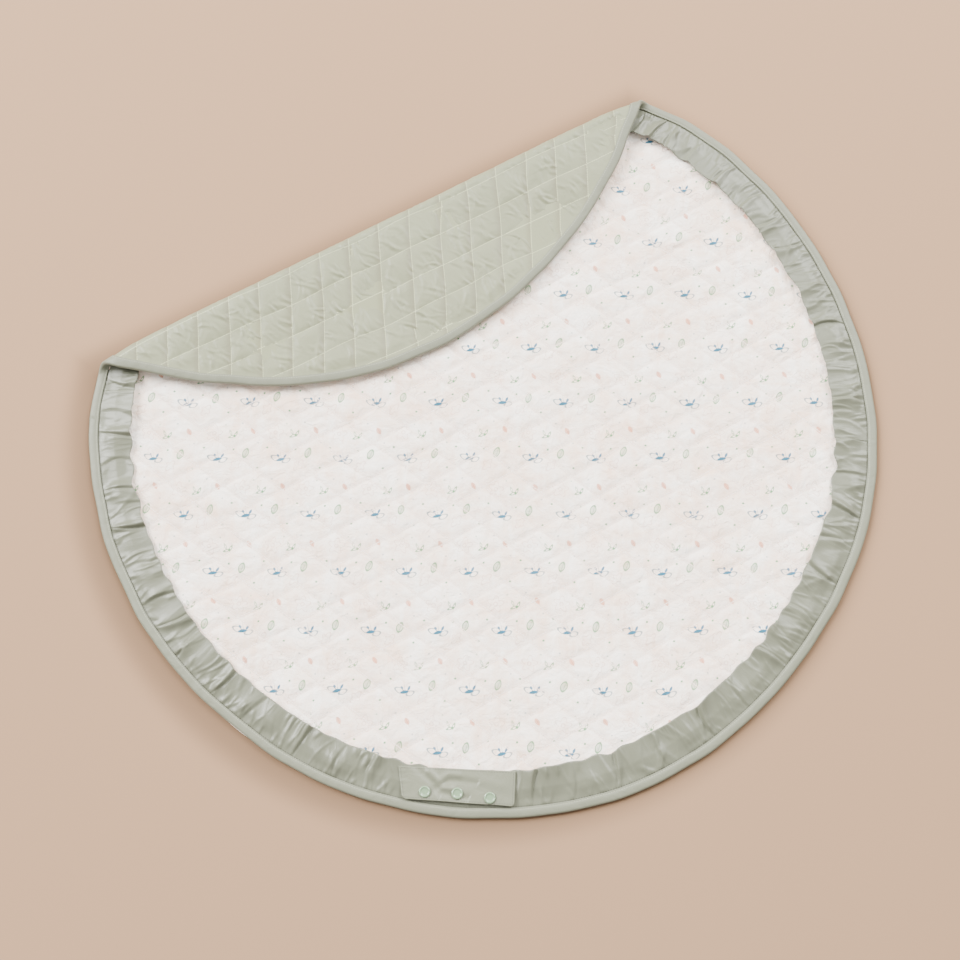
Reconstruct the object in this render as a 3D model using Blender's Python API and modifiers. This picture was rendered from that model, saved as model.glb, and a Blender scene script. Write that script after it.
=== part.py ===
"""
Round quilted baby play mat, lying on the floor with one side folded over on to itself.

Each piece is laid out the way it is cut and sewn: a flat mesh, with a height above the
mat's underside.  All the pieces are then folded together along one straight line, so the
layers keep their order and their gaps.  Lengths are in metres and angles in degrees.
"""

import math

import bmesh
import bpy
from mathutils import Matrix, Vector

MM = 0.001

# Plan sizes of the unfolded mat
BINDING_RADIUS = 500.2 * MM      # outermost reach of the binding
PANEL_RADIUS = 498.0 * MM        # cut edge of both panels, inside the binding
QUILT_RADIUS = 480.0 * MM        # the quilting ends here and the panels thin to the edge
BINDING_EDGE = 488.5 * MM        # inner edge of the binding's two legs
BAND_EDGE = 445.0 * MM           # free inner edge of the gathered band
BINDING_WALL = 1.4 * MM
RIM_SIDES = 72

# Heights above the underside, before folding
GAP = 0.3 * MM                   # between neighbouring pieces
BACK_DEPTH = 1.5 * MM            # from the back's puffs up to its stitch lines
BACK_TOP = 3.0 * MM
TOP_BOTTOM = BACK_TOP + GAP
TOP_STITCH = 4.8 * MM
TOP_DEPTH = 2.0 * MM             # from the stitch lines up to the top's puffs
TOP_PUFF = TOP_STITCH + TOP_DEPTH
CLOTH = 1.0 * MM                 # thickness of the binding's legs and of the band
RIM_BACK = (1.3 * MM, 2.3 * MM)  # lower and upper face of the back panel at its cut edge
RIM_TOP = (2.6 * MM, 3.6 * MM)   # the same for the top panel
RIM_BAND = 3.9 * MM              # underside of the band at its cut edge

# Quilting: two sets of straight lines, the same distance apart, that make diamonds
QUILT_PITCH = 40.0 * MM
LINE_SETS = (
    {"direction": 29.0, "offset": 1.2 * MM},
    {"direction": -38.0, "offset": 9.0 * MM},
)
PUFF_BORDER = 9.0 * MM           # sloping border between a stitch line and a puff's face
WHOLE_SHARE = 0.98               # a cell with this much of a diamond's area is whole
FADE_RADIUS = 455.0 * MM         # the puffs sink from here to the quilting's end
SMALL_CELL = 8.0 * MM            # corners closer than this at the rim are one corner

# The fold: a straight line, with the flap turned over on to the base
FOLD_BEARING = 118.1             # direction from the mat's centre to the fold
FOLD_DISTANCE = 290.0 * MM       # from the centre to where the cloth starts to bend
FOLD_HEIGHT = 24.0 * MM          # over the outside of the bend
BEND_STEPS = 6
FLAP_HEIGHTS = (                 # outside of the flap above the floor, past the bend
    {"past": 0.0 * MM, "height": 24.0 * MM},
    {"past": 30.0 * MM, "height": 22.6 * MM},
    {"past": 72.0 * MM, "height": 19.6 * MM},
    {"past": 115.0 * MM, "height": 18.0 * MM},
)

# How far the hand-made rim strays from a true circle, by bearing from the centre
RIM_DRIFT = (
    {"bearing": -185.0, "drift": 3.5 * MM},
    {"bearing": -165.0, "drift": 0.5 * MM},
    {"bearing": -150.0, "drift": -2.0 * MM},
    {"bearing": -128.0, "drift": -5.0 * MM},
    {"bearing": -114.0, "drift": -1.5 * MM},
    {"bearing": -88.0, "drift": 1.0 * MM},
    {"bearing": -70.0, "drift": 4.5 * MM},
    {"bearing": -35.0, "drift": -1.5 * MM},
    {"bearing": -14.0, "drift": 1.5 * MM},
    {"bearing": 25.0, "drift": -3.5 * MM},
    {"bearing": 62.0, "drift": 3.0 * MM},
    {"bearing": 95.0, "drift": -5.0 * MM},
    {"bearing": 128.0, "drift": -1.0 * MM},
    {"bearing": 150.0, "drift": -5.0 * MM},
    {"bearing": 175.0, "drift": 3.5 * MM},
)

# The gathered band is two strips, joined where they meet at these bearings
BAND_SEAMS = (-184.8, -3.5)
SEAM_GAP = 0.04                  # degrees between the two strips
FOOT_ANGLE = 1.4                 # a fold's crest to its foot
LONGEST_SPAN = 8.0               # degrees between two columns of the band
BAND_STEP_RADIUS = 470.0 * MM    # outside this the band dips towards the binding
BAND_ROWS = (                    # from the cut edge to the free edge
    {"radius": PANEL_RADIUS, "rise": 0.0, "slide": 0.0, "lift": None},
    {"radius": 486.0 * MM, "rise": 0.0, "slide": 0.0, "lift": None},
    {"radius": 466.0 * MM, "rise": 0.5, "slide": 0.0, "lift": "middle"},
    {"radius": BAND_EDGE, "rise": 1.0, "slide": 1.0, "lift": "edge"},
)

# The band's folds.  Lean is how far a crest turns from the binding to the free edge,
# middle and edge are its heights there, and pull draws the free edge outward.
BAND_FOLDS = (
    {"bearing": -181.5, "lean": 0.3, "middle": 1.5 * MM, "edge": 2.0 * MM, "pull": 0.0 * MM},
    {"bearing": -177.7, "lean": 0.8, "middle": 3.0 * MM, "edge": 4.5 * MM, "pull": 1.0 * MM},
    {"bearing": -173.5, "lean": -0.8, "middle": 2.0 * MM, "edge": 1.5 * MM, "pull": 3.0 * MM},
    {"bearing": -168.8, "lean": 0.3, "middle": 3.0 * MM, "edge": 2.0 * MM, "pull": 5.0 * MM},
    {"bearing": -162.4, "lean": 1.1, "middle": 4.0 * MM, "edge": 5.0 * MM, "pull": 2.0 * MM},
    {"bearing": -156.5, "lean": 0.5, "middle": 1.5 * MM, "edge": 1.5 * MM, "pull": 0.0 * MM},
    {"bearing": -150.2, "lean": 0.5, "middle": 3.0 * MM, "edge": 2.0 * MM, "pull": -1.0 * MM},
    {"bearing": -145.3, "lean": 1.5, "middle": 4.0 * MM, "edge": 5.0 * MM, "pull": 0.0 * MM},
    {"bearing": -141.0, "lean": -0.8, "middle": 3.0 * MM, "edge": 1.5 * MM, "pull": 0.0 * MM},
    {"bearing": -133.4, "lean": 0.2, "middle": 3.5 * MM, "edge": 4.5 * MM, "pull": 0.0 * MM},
    {"bearing": -127.5, "lean": 0.8, "middle": 2.0 * MM, "edge": 1.5 * MM, "pull": 0.0 * MM},
    {"bearing": -118.5, "lean": 0.4, "middle": 3.0 * MM, "edge": 4.5 * MM, "pull": 0.0 * MM},
    {"bearing": -112.5, "lean": 0.3, "middle": 2.0 * MM, "edge": 1.0 * MM, "pull": 0.0 * MM},
    {"bearing": -107.0, "lean": 0.5, "middle": 2.5 * MM, "edge": 2.5 * MM, "pull": 0.0 * MM},
    {"bearing": -82.9, "lean": 0.8, "middle": 3.0 * MM, "edge": 4.5 * MM, "pull": 2.0 * MM},
    {"bearing": -77.0, "lean": 0.4, "middle": 1.5 * MM, "edge": 1.0 * MM, "pull": 0.0 * MM},
    {"bearing": -70.0, "lean": 1.2, "middle": 4.0 * MM, "edge": 4.5 * MM, "pull": 2.0 * MM},
    {"bearing": -63.0, "lean": 0.5, "middle": 2.0 * MM, "edge": 1.5 * MM, "pull": 0.0 * MM},
    {"bearing": -55.0, "lean": 0.8, "middle": 4.0 * MM, "edge": 5.0 * MM, "pull": 3.0 * MM},
    {"bearing": -48.5, "lean": 0.6, "middle": 2.5 * MM, "edge": 1.5 * MM, "pull": 0.0 * MM},
    {"bearing": -41.2, "lean": -1.0, "middle": 4.0 * MM, "edge": 4.5 * MM, "pull": 2.0 * MM},
    {"bearing": -33.0, "lean": 0.4, "middle": 3.0 * MM, "edge": 3.5 * MM, "pull": 1.0 * MM},
    {"bearing": -25.5, "lean": 1.5, "middle": 3.0 * MM, "edge": 3.0 * MM, "pull": -1.0 * MM},
    {"bearing": -20.5, "lean": -0.8, "middle": 2.0 * MM, "edge": 2.0 * MM, "pull": 0.0 * MM},
    {"bearing": -14.8, "lean": 1.4, "middle": 4.5 * MM, "edge": 4.0 * MM, "pull": 5.0 * MM},
    {"bearing": -8.5, "lean": 0.4, "middle": 1.5 * MM, "edge": 2.5 * MM, "pull": 3.0 * MM},
    {"bearing": 2.8, "lean": 0.2, "middle": 2.5 * MM, "edge": 3.0 * MM, "pull": 0.0 * MM},
    {"bearing": 9.0, "lean": 0.5, "middle": 1.5 * MM, "edge": 1.5 * MM, "pull": 0.0 * MM},
    {"bearing": 16.4, "lean": 1.1, "middle": 4.0 * MM, "edge": 4.5 * MM, "pull": 0.0 * MM},
    {"bearing": 23.0, "lean": 0.5, "middle": 1.5 * MM, "edge": 2.0 * MM, "pull": 2.0 * MM},
    {"bearing": 30.4, "lean": 1.0, "middle": 3.5 * MM, "edge": 4.5 * MM, "pull": 0.0 * MM},
    {"bearing": 35.6, "lean": 0.3, "middle": 2.5 * MM, "edge": 2.5 * MM, "pull": 0.0 * MM},
    {"bearing": 40.5, "lean": 0.2, "middle": 3.0 * MM, "edge": 3.0 * MM, "pull": 0.0 * MM},
    {"bearing": 46.8, "lean": 0.4, "middle": 3.5 * MM, "edge": 4.5 * MM, "pull": 2.0 * MM},
    {"bearing": 53.0, "lean": 0.6, "middle": 2.0 * MM, "edge": 1.5 * MM, "pull": 4.0 * MM},
    {"bearing": 57.5, "lean": -0.6, "middle": 2.0 * MM, "edge": 2.0 * MM, "pull": 4.0 * MM},
)

# Smaller folds on the part of the band that is turned in under the flap
HIDDEN_FOLDS = {"first": 64.0, "last": 172.0, "spacing": 9.0, "middle": 1.2 * MM, "edge": 1.8 * MM}

# The snap flap, with its corners in plan from the mat's centre, and its three studs
SNAP_CORNERS = {
    "inner_left": (-103.0 * MM, -439.5 * MM),
    "inner_right": (38.0 * MM, -445.0 * MM),
    "outer_right": (36.0 * MM, -486.5 * MM),
    "outer_left": (-98.0 * MM, -478.0 * MM),
}
SNAP_CELLS = (9, 3)
SNAP_BOTTOM = 8.6 * MM
SNAP_CLOTH = 1.6 * MM
SNAP_SWELLS = 3
SNAP_SWELL = 0.9 * MM
SNAP_ROUND = 5.0 * MM
STUDS = (
    {"name": "stud_left", "x": -71.0 * MM, "y": -470.0 * MM},
    {"name": "stud_middle", "x": -32.0 * MM, "y": -471.5 * MM},
    {"name": "stud_right", "x": 7.0 * MM, "y": -476.5 * MM},
)
STUD_PROFILE = (                 # radius and height, from the middle of the face outward
    (0.0 * MM, 1.7 * MM),
    (4.6 * MM, 1.7 * MM),
    (5.4 * MM, 2.3 * MM),
    (6.5 * MM, 2.0 * MM),
    (7.0 * MM, 0.0 * MM),
    (0.0 * MM, 0.0 * MM),
)
STUD_SIDES = 16

# Where the mat's centre lies, so that the folded mat is centred over the origin
MAT_CENTRE = (1.5 * MM, 23.2 * MM, 0.0)


def clear_scene():
    for item in list(bpy.data.objects):
        bpy.data.objects.remove(item, do_unlink=True)


def make_material(name, colour, roughness):
    material = bpy.data.materials.new(name)
    material.use_nodes = True
    shader = material.node_tree.nodes["Principled BSDF"]
    shader.inputs["Base Color"].default_value = (*colour, 1.0)
    shader.inputs["Roughness"].default_value = roughness
    shader.inputs["Metallic"].default_value = 0.0
    return material


def unit(bearing):
    angle = math.radians(bearing)
    return Vector((math.cos(angle), math.sin(angle), 0.0))


def blend(position, start, end, first, last):
    """Straight change from first at start to last at end, and level past either."""
    share = (position - start) / (end - start)
    return first + (last - first) * min(max(share, 0.0), 1.0)


def read_table(rows, key, value, position):
    for low, high in zip(rows, rows[1:]):
        if position <= high[key]:
            return blend(position, low[key], high[key], low[value], high[value])
    return rows[-1][value]


def smooth_drift(bearing):
    """Rim drift, eased between the rows of its table, which ends where it begins."""
    first = RIM_DRIFT[0]["bearing"]
    turned = first + (bearing - first) % 360.0
    for low, high in zip(RIM_DRIFT, RIM_DRIFT[1:]):
        if turned <= high["bearing"]:
            share = (turned - low["bearing"]) / (high["bearing"] - low["bearing"])
            eased = share * share * (3.0 - 2.0 * share)
            return low["drift"] + (high["drift"] - low["drift"]) * eased
    return RIM_DRIFT[-1]["drift"]


def drift_rim(mesh):
    """Push the mesh in and out with the rim, and hardly at all near the middle."""
    for vertex in mesh.verts:
        radius = math.hypot(vertex.co.x, vertex.co.y)
        bearing = math.degrees(math.atan2(vertex.co.y, vertex.co.x))
        share = (radius / PANEL_RADIUS) ** 4
        scale = 1.0 + smooth_drift(bearing) * share / PANEL_RADIUS
        vertex.co.x *= scale
        vertex.co.y *= scale


FOLD_OUT = unit(FOLD_BEARING)
BEND_CENTRE = FOLD_HEIGHT / 2.0
NEUTRAL_RADIUS = BEND_CENTRE - BACK_TOP
BEND_LENGTH = math.pi * NEUTRAL_RADIUS


def cut_lines():
    """Distances past the start of the bend at which every piece is given a crease."""
    bend = [BEND_LENGTH * step / BEND_STEPS for step in range(BEND_STEPS + 1)]
    flap = [BEND_LENGTH + row["past"] for row in FLAP_HEIGHTS[1:]]
    return bend + flap


def folded(point):
    """Where a point of the flat layout lies once the mat is folded."""
    across = point.dot(FOLD_OUT)
    past = across - FOLD_DISTANCE
    along = point - FOLD_OUT * across
    along.z = 0.0
    if past <= 0.0:
        return point.copy()
    if past < BEND_LENGTH:
        turn = past / NEUTRAL_RADIUS
        arm = BEND_CENTRE - point.z
        place = along + FOLD_OUT * (FOLD_DISTANCE + arm * math.sin(turn))
        place.z = BEND_CENTRE - arm * math.cos(turn)
        return place
    back = past - BEND_LENGTH
    place = along + FOLD_OUT * (FOLD_DISTANCE - back)
    place.z = read_table(FLAP_HEIGHTS, "past", "height", back) - point.z
    return place


def fold_mesh(mesh):
    """Crease the flat mesh along the cut lines, and fold it."""
    for past in cut_lines():
        bmesh.ops.bisect_plane(
            mesh,
            geom=mesh.verts[:] + mesh.edges[:] + mesh.faces[:],
            dist=0.0001,
            plane_co=FOLD_OUT * (FOLD_DISTANCE + past),
            plane_no=FOLD_OUT,
        )
    bmesh.ops.triangulate(mesh, faces=mesh.faces[:])
    for vertex in mesh.verts:
        vertex.co = folded(vertex.co)
    bmesh.ops.recalc_face_normals(mesh, faces=mesh.faces[:])


def thicken(mesh, lower, upper):
    """Make a flat sheet a slab, with its two faces at the heights given for a plan point."""
    sheet = mesh.verts[:]
    extruded = bmesh.ops.extrude_face_region(mesh, geom=mesh.faces[:])["geom"]
    raised = [item for item in extruded if isinstance(item, bmesh.types.BMVert)]
    raised_faces = [item for item in extruded if isinstance(item, bmesh.types.BMFace)]
    for vertex in sheet:
        vertex.co.z = lower(vertex.co)
    for vertex in raised:
        vertex.co.z = upper(vertex.co)
    bmesh.ops.recalc_face_normals(mesh, faces=mesh.faces[:])
    return raised_faces


def plan_radius(point):
    return math.hypot(point.x, point.y)


def add_piece(name, mesh, material, frame):
    data = bpy.data.meshes.new(name)
    mesh.to_mesh(data)
    mesh.free()
    data.materials.append(material)
    item = bpy.data.objects.new(name, data)
    item.parent = frame
    bpy.data.collections["play_mat"].objects.link(item)
    return item


def quilted_sheet():
    """Diamond cells between the stitch lines, cut to a circle, with a plain rim outside."""
    mesh = bmesh.new()
    cells = 2 * math.ceil(PANEL_RADIUS / QUILT_PITCH) + 4
    bmesh.ops.create_grid(mesh, x_segments=cells, y_segments=cells, size=cells / 2)
    across = [unit(line_set["direction"] + 90.0) for line_set in LINE_SETS]
    to_lines = Matrix(((across[0].x, across[0].y), (across[1].x, across[1].y)))
    to_plan = to_lines.inverted()
    for vertex in mesh.verts:
        steps = (vertex.co.x, vertex.co.y)
        reach = Vector([s["offset"] + QUILT_PITCH * step for s, step in zip(LINE_SETS, steps)])
        plan = to_plan @ reach
        vertex.co = (plan.x, plan.y, 0.0)
    apothem = QUILT_RADIUS * math.cos(math.pi / RIM_SIDES)
    for side in range(RIM_SIDES):
        outward = unit(360.0 * (side + 0.5) / RIM_SIDES)
        bmesh.ops.bisect_plane(
            mesh,
            geom=mesh.verts[:] + mesh.edges[:] + mesh.faces[:],
            dist=0.0001,
            plane_co=outward * apothem,
            plane_no=outward,
            clear_outer=True,
        )
    rim = [vertex for vertex in mesh.verts if vertex.is_boundary]
    bmesh.ops.remove_doubles(mesh, verts=rim, dist=SMALL_CELL)
    rim = [vertex for vertex in mesh.verts if vertex.is_boundary]
    for vertex in rim:
        vertex.co = vertex.co.normalized() * QUILT_RADIUS
    border = [edge for edge in mesh.edges if edge.is_boundary]
    outer = bmesh.ops.extrude_edge_only(mesh, edges=border)["geom"]
    for item in outer:
        if isinstance(item, bmesh.types.BMVert):
            item.co = item.co.normalized() * PANEL_RADIUS
    return mesh


def inside_quilting(face):
    return all(plan_radius(vertex.co) < QUILT_RADIUS + 0.1 * MM for vertex in face.verts)


def fullness(face):
    """A cell's area as a share of a whole diamond's."""
    crossing = math.radians(LINE_SETS[0]["direction"] - LINE_SETS[1]["direction"])
    return face.calc_area() * math.sin(crossing) / QUILT_PITCH ** 2


def is_whole_diamond(face):
    return len(face.verts) == 4 and fullness(face) > WHOLE_SHARE


def puff_share(point):
    """The puffs sink towards the rim, where the band lies over them."""
    return blend(plan_radius(point), FADE_RADIUS, QUILT_RADIUS, 1.0, 0.0)


def puff_cells(mesh, faces, height):
    """Whole diamonds get a flat face inside a sloping border, and cut ones a single point."""
    whole = [face for face in faces if is_whole_diamond(face)]
    cut_off = [(face, fullness(face)) for face in faces if not is_whole_diamond(face)]
    bmesh.ops.inset_individual(mesh, faces=whole, thickness=PUFF_BORDER)
    for face in whole:
        for vertex in face.verts:
            vertex.co.z += height * puff_share(vertex.co)
    for face, share in cut_off:
        level = face.verts[0].co.z
        centre = bmesh.ops.poke(mesh, faces=[face])["verts"][0]
        centre.co.z = level + height * share * puff_share(centre.co)


def make_top_panel(material, frame):
    """Printed cotton top, with its puffs facing up."""
    def lower(point):
        return blend(plan_radius(point), QUILT_RADIUS, PANEL_RADIUS, TOP_BOTTOM, RIM_TOP[0])

    def upper(point):
        return blend(plan_radius(point), QUILT_RADIUS, PANEL_RADIUS, TOP_STITCH, RIM_TOP[1])

    mesh = quilted_sheet()
    shown = thicken(mesh, lower, upper)
    cells = [face for face in shown if inside_quilting(face)]
    hidden = [
        face for face in mesh.faces
        if inside_quilting(face) and face.calc_center_median().z < TOP_BOTTOM + GAP
    ]
    bmesh.ops.dissolve_faces(mesh, faces=hidden)
    puff_cells(mesh, cells, TOP_DEPTH)
    drift_rim(mesh)
    fold_mesh(mesh)
    return add_piece("top_panel", mesh, material, frame)


def make_back_panel(material, frame):
    """Satin back: the flat faces of its puffs lie on the floor."""
    def lower(point):
        return blend(plan_radius(point), QUILT_RADIUS, PANEL_RADIUS, BACK_DEPTH, RIM_BACK[0])

    def upper(point):
        return blend(plan_radius(point), QUILT_RADIUS, PANEL_RADIUS, BACK_TOP, RIM_BACK[1])

    mesh = quilted_sheet()
    hidden = [face for face in thicken(mesh, lower, upper) if inside_quilting(face)]
    cells = [
        face for face in mesh.faces
        if inside_quilting(face) and face.calc_center_median().z < BACK_DEPTH + GAP
    ]
    bmesh.ops.dissolve_faces(mesh, faces=hidden)
    puff_cells(mesh, cells, -BACK_DEPTH)
    drift_rim(mesh)
    fold_mesh(mesh)
    return add_piece("back_panel", mesh, material, frame)


def make_binding(material, frame):
    """Tape folded over the edge: a trough-shaped section, spun about the mat's centre."""
    inside = BINDING_RADIUS - BINDING_WALL
    foot = RIM_BACK[0] - GAP
    cap = RIM_BAND + CLOTH + GAP
    slope = (TOP_STITCH - RIM_TOP[1]) / (PANEL_RADIUS - QUILT_RADIUS)
    lip = cap + slope * (PANEL_RADIUS - BINDING_EDGE)
    corner = BINDING_WALL
    section = (
        (BINDING_EDGE, 0.0),
        (BINDING_RADIUS - corner, 0.0),
        (BINDING_RADIUS, corner),
        (BINDING_RADIUS, cap + CLOTH - corner),
        (BINDING_RADIUS - corner, cap + CLOTH),
        (BINDING_EDGE, lip + CLOTH),
        (BINDING_EDGE, lip),
        (inside, cap),
        (inside, foot),
        (BINDING_EDGE, foot),
    )
    mesh = bmesh.new()
    corners = [mesh.verts.new((radius, 0.0, height)) for radius, height in section]
    outline = mesh.faces.new(corners)
    edges = outline.edges[:]
    bmesh.ops.delete(mesh, geom=[outline], context="FACES_ONLY")
    bmesh.ops.spin(
        mesh,
        geom=edges,
        cent=(0.0, 0.0, 0.0),
        axis=(0.0, 0.0, 1.0),
        angle=2.0 * math.pi,
        steps=RIM_SIDES,
        use_merge=True,
    )
    drift_rim(mesh)
    fold_mesh(mesh)
    return add_piece("binding", mesh, material, frame)


def hidden_folds():
    """Even small folds for the stretch of band under the flap."""
    count = int((HIDDEN_FOLDS["last"] - HIDDEN_FOLDS["first"]) / HIDDEN_FOLDS["spacing"]) + 1
    rows = []
    for index in range(count):
        rows.append({
            "bearing": HIDDEN_FOLDS["first"] + HIDDEN_FOLDS["spacing"] * index,
            "lean": 0.6 if index % 2 else -0.4,
            "middle": HIDDEN_FOLDS["middle"],
            "edge": HIDDEN_FOLDS["edge"],
            "pull": 0.0,
        })
    return rows


def flat_column(bearing):
    return {"bearing": bearing, "lean": 0.0, "middle": 0.0, "edge": 0.0, "pull": 0.0}


def band_columns(start, end):
    """Columns of one strip: each fold's crest and feet, its two ends, and plain ones between."""
    folds = [row for row in BAND_FOLDS + tuple(hidden_folds()) if start + 1 < row["bearing"] < end - 1]
    folds += [
        {**row, "bearing": row["bearing"] + 360.0}
        for row in BAND_FOLDS if start + 1 < row["bearing"] + 360.0 < end - 1
    ]
    columns = [flat_column(start)]
    for row in folds:
        for side, turn in (("foot", -FOOT_ANGLE), ("crest", 0.0), ("foot", FOOT_ANGLE)):
            if side == "crest":
                columns.append(row)
            else:
                foot = flat_column(row["bearing"] + turn)
                columns.append({**foot, "lean": row["lean"], "pull": row["pull"] / 2.0})
    columns.append(flat_column(end))
    filled = [columns[0]]
    for column in columns[1:]:
        previous = filled[-1]
        span = column["bearing"] - previous["bearing"]
        extra = math.ceil(span / LONGEST_SPAN) - 1
        for index in range(extra):
            filled.append(flat_column(previous["bearing"] + span * (index + 1) / (extra + 1)))
        filled.append(column)
    return filled


def band_floor(radius):
    """Height of the band's underside where it lies flat on the top panel."""
    if radius > QUILT_RADIUS:
        return blend(radius, QUILT_RADIUS, PANEL_RADIUS, TOP_STITCH + GAP, RIM_BAND)
    return blend(radius, BAND_STEP_RADIUS, QUILT_RADIUS, TOP_PUFF + GAP, TOP_STITCH + GAP)


def band_point(column, row):
    """A column's point at a row of the band, on the underside of the cloth."""
    turn = column["lean"] * (row["rise"] - 0.5) if row["rise"] > 0.0 else -column["lean"] / 2.0
    radius = row["radius"] + column["pull"] * row["slide"]
    lift = column[row["lift"]] if row["lift"] else 0.0
    place = unit(column["bearing"] + turn) * radius
    place.z = band_floor(radius) + lift
    return place


def make_band(name, start, end, material, frame):
    """One strip of the gathered band: a grid with a column at each crest and foot."""
    columns = band_columns(start, end)
    spans = len(columns) - 1
    steps = len(BAND_ROWS) - 1
    mesh = bmesh.new()
    bmesh.ops.create_grid(mesh, x_segments=spans, y_segments=steps, size=0.5)
    for vertex in mesh.verts:
        column = columns[round((vertex.co.x + 0.5) * spans)]
        row = BAND_ROWS[round((vertex.co.y + 0.5) * steps)]
        vertex.co = band_point(column, row)
    extruded = bmesh.ops.extrude_face_region(mesh, geom=mesh.faces[:])["geom"]
    for item in extruded:
        if isinstance(item, bmesh.types.BMVert):
            item.co.z += CLOTH
    drift_rim(mesh)
    fold_mesh(mesh)
    return add_piece(name, mesh, material, frame)


def snap_swell(along, out):
    """Soft swells across the snap flap, highest at its inner edge."""
    wave = 0.5 - 0.5 * math.cos(2.0 * math.pi * SNAP_SWELLS * along)
    return SNAP_SWELL * wave * (1.0 - out)


def make_snap_flap(material, frame):
    """Small cloth flap over the band, with rounded outer corners."""
    mesh = bmesh.new()
    long_cells, short_cells = SNAP_CELLS
    bmesh.ops.create_grid(mesh, x_segments=long_cells, y_segments=short_cells, size=0.5)
    corners = {key: Vector((*place, 0.0)) for key, place in SNAP_CORNERS.items()}
    for vertex in mesh.verts:
        along = vertex.co.x + 0.5
        out = 0.5 - vertex.co.y
        inner = corners["inner_left"].lerp(corners["inner_right"], along)
        outer = corners["outer_left"].lerp(corners["outer_right"], along)
        vertex.co = inner.lerp(outer, out)
        vertex.co.z = SNAP_BOTTOM + snap_swell(along, out)
    outer_corners = [corners["outer_left"], corners["outer_right"]]
    extruded = bmesh.ops.extrude_face_region(mesh, geom=mesh.faces[:])["geom"]
    for item in extruded:
        if isinstance(item, bmesh.types.BMVert):
            item.co.z += SNAP_CLOTH
    upright = []
    for edge in mesh.edges:
        low, high = edge.verts
        stands = (low.co - high.co).xy.length < 0.1 * MM
        at_corner = any((low.co - corner).xy.length < 0.1 * MM for corner in outer_corners)
        if stands and at_corner:
            upright.append(edge)
    bmesh.ops.bevel(
        mesh, geom=upright, offset=SNAP_ROUND, offset_type="OFFSET", segments=3,
        profile=0.5, affect="EDGES",
    )
    bmesh.ops.recalc_face_normals(mesh, faces=mesh.faces[:])
    bmesh.ops.triangulate(mesh, faces=mesh.faces[:])
    return add_piece("snap_flap", mesh, material, frame)


def make_studs(material, frame):
    """Press-stud caps: one turned section, shared by the three studs."""
    data = bpy.data.meshes.new("stud_cap")
    section = bmesh.new()
    points = [section.verts.new((radius, 0.0, height)) for radius, height in STUD_PROFILE]
    for pair in zip(points, points[1:]):
        section.edges.new(pair)
    section.to_mesh(data)
    section.free()
    data.materials.append(material)
    for row in STUDS:
        stud = bpy.data.objects.new(row["name"], data)
        stud.parent = frame
        height = SNAP_BOTTOM + SNAP_CLOTH + SNAP_SWELL / 2.0 + GAP
        stud.location = (row["x"], row["y"], height)
        turning = stud.modifiers.new("Turned cap", "SCREW")
        turning.steps = STUD_SIDES
        turning.render_steps = STUD_SIDES
        turning.use_merge_vertices = True
        turning.merge_threshold = 0.0001
        bpy.data.collections["play_mat"].objects.link(stud)


def main():
    clear_scene()
    collection = bpy.data.collections.new("play_mat")
    bpy.context.scene.collection.children.link(collection)
    frame = bpy.data.objects.new("mat_centre", None)
    frame.location = MAT_CENTRE
    collection.objects.link(frame)
    print_cotton = make_material("print_cotton", (0.84, 0.81, 0.78), 0.8)
    sage_back = make_material("sage_back", (0.56, 0.57, 0.48), 0.5)
    sage_binding = make_material("sage_binding", (0.52, 0.53, 0.45), 0.55)
    sage_satin = make_material("sage_satin", (0.47, 0.48, 0.41), 0.4)
    stud_plastic = make_material("stud_plastic", (0.54, 0.58, 0.49), 0.25)
    make_top_panel(print_cotton, frame)
    make_back_panel(sage_back, frame)
    make_binding(sage_binding, frame)
    first, second = BAND_SEAMS
    make_band("band_near", first, second - SEAM_GAP, sage_satin, frame)
    make_band("band_far", second, first + 360.0 - SEAM_GAP, sage_satin, frame)
    make_snap_flap(sage_satin, frame)
    make_studs(stud_plastic, frame)


main()
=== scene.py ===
import math

import bmesh
import bpy
import numpy as np
from mathutils import Matrix, Vector


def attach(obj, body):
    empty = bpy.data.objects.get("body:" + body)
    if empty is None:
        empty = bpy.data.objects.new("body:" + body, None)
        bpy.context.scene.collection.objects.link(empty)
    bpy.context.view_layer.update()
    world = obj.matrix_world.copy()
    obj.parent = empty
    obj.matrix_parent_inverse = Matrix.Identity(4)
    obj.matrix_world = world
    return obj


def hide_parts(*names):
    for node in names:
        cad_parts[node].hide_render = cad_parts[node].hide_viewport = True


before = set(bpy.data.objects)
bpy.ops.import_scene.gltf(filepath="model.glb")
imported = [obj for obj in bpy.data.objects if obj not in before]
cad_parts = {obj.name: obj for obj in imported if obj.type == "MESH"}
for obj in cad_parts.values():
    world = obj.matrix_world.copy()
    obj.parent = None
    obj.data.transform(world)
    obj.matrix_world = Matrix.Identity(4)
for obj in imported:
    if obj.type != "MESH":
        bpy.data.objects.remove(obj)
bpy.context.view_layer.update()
print("frame loaded:", ", ".join(sorted(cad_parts)))

mm = 0.001
tiny = 0.01 * mm                  # points nearer than this are one point
cellTable = 64                    # cells counted each way before the uneven tables repeat

# The mat is laid out flat, the way it is cut, then every piece is folded by the same rule.
# Lengths are in metres, bearings in degrees from the mat's centre.
mat = {
    "centre": (1.5 * mm, 23.2 * mm, 0.0),
    "cutRadius": 498.0 * mm,      # cut edge of the panels, inside the binding
    "quiltRadius": 480.0 * mm,    # the padding thins from here to the cut edge
    "bandStep": 468.0 * mm,       # outside this the band dips towards the binding
    "bandEdge": 445.0 * mm,       # free edge of the gathered band
    "bindingEdge": 488.5 * mm,    # inner edge of the binding
}

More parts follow.
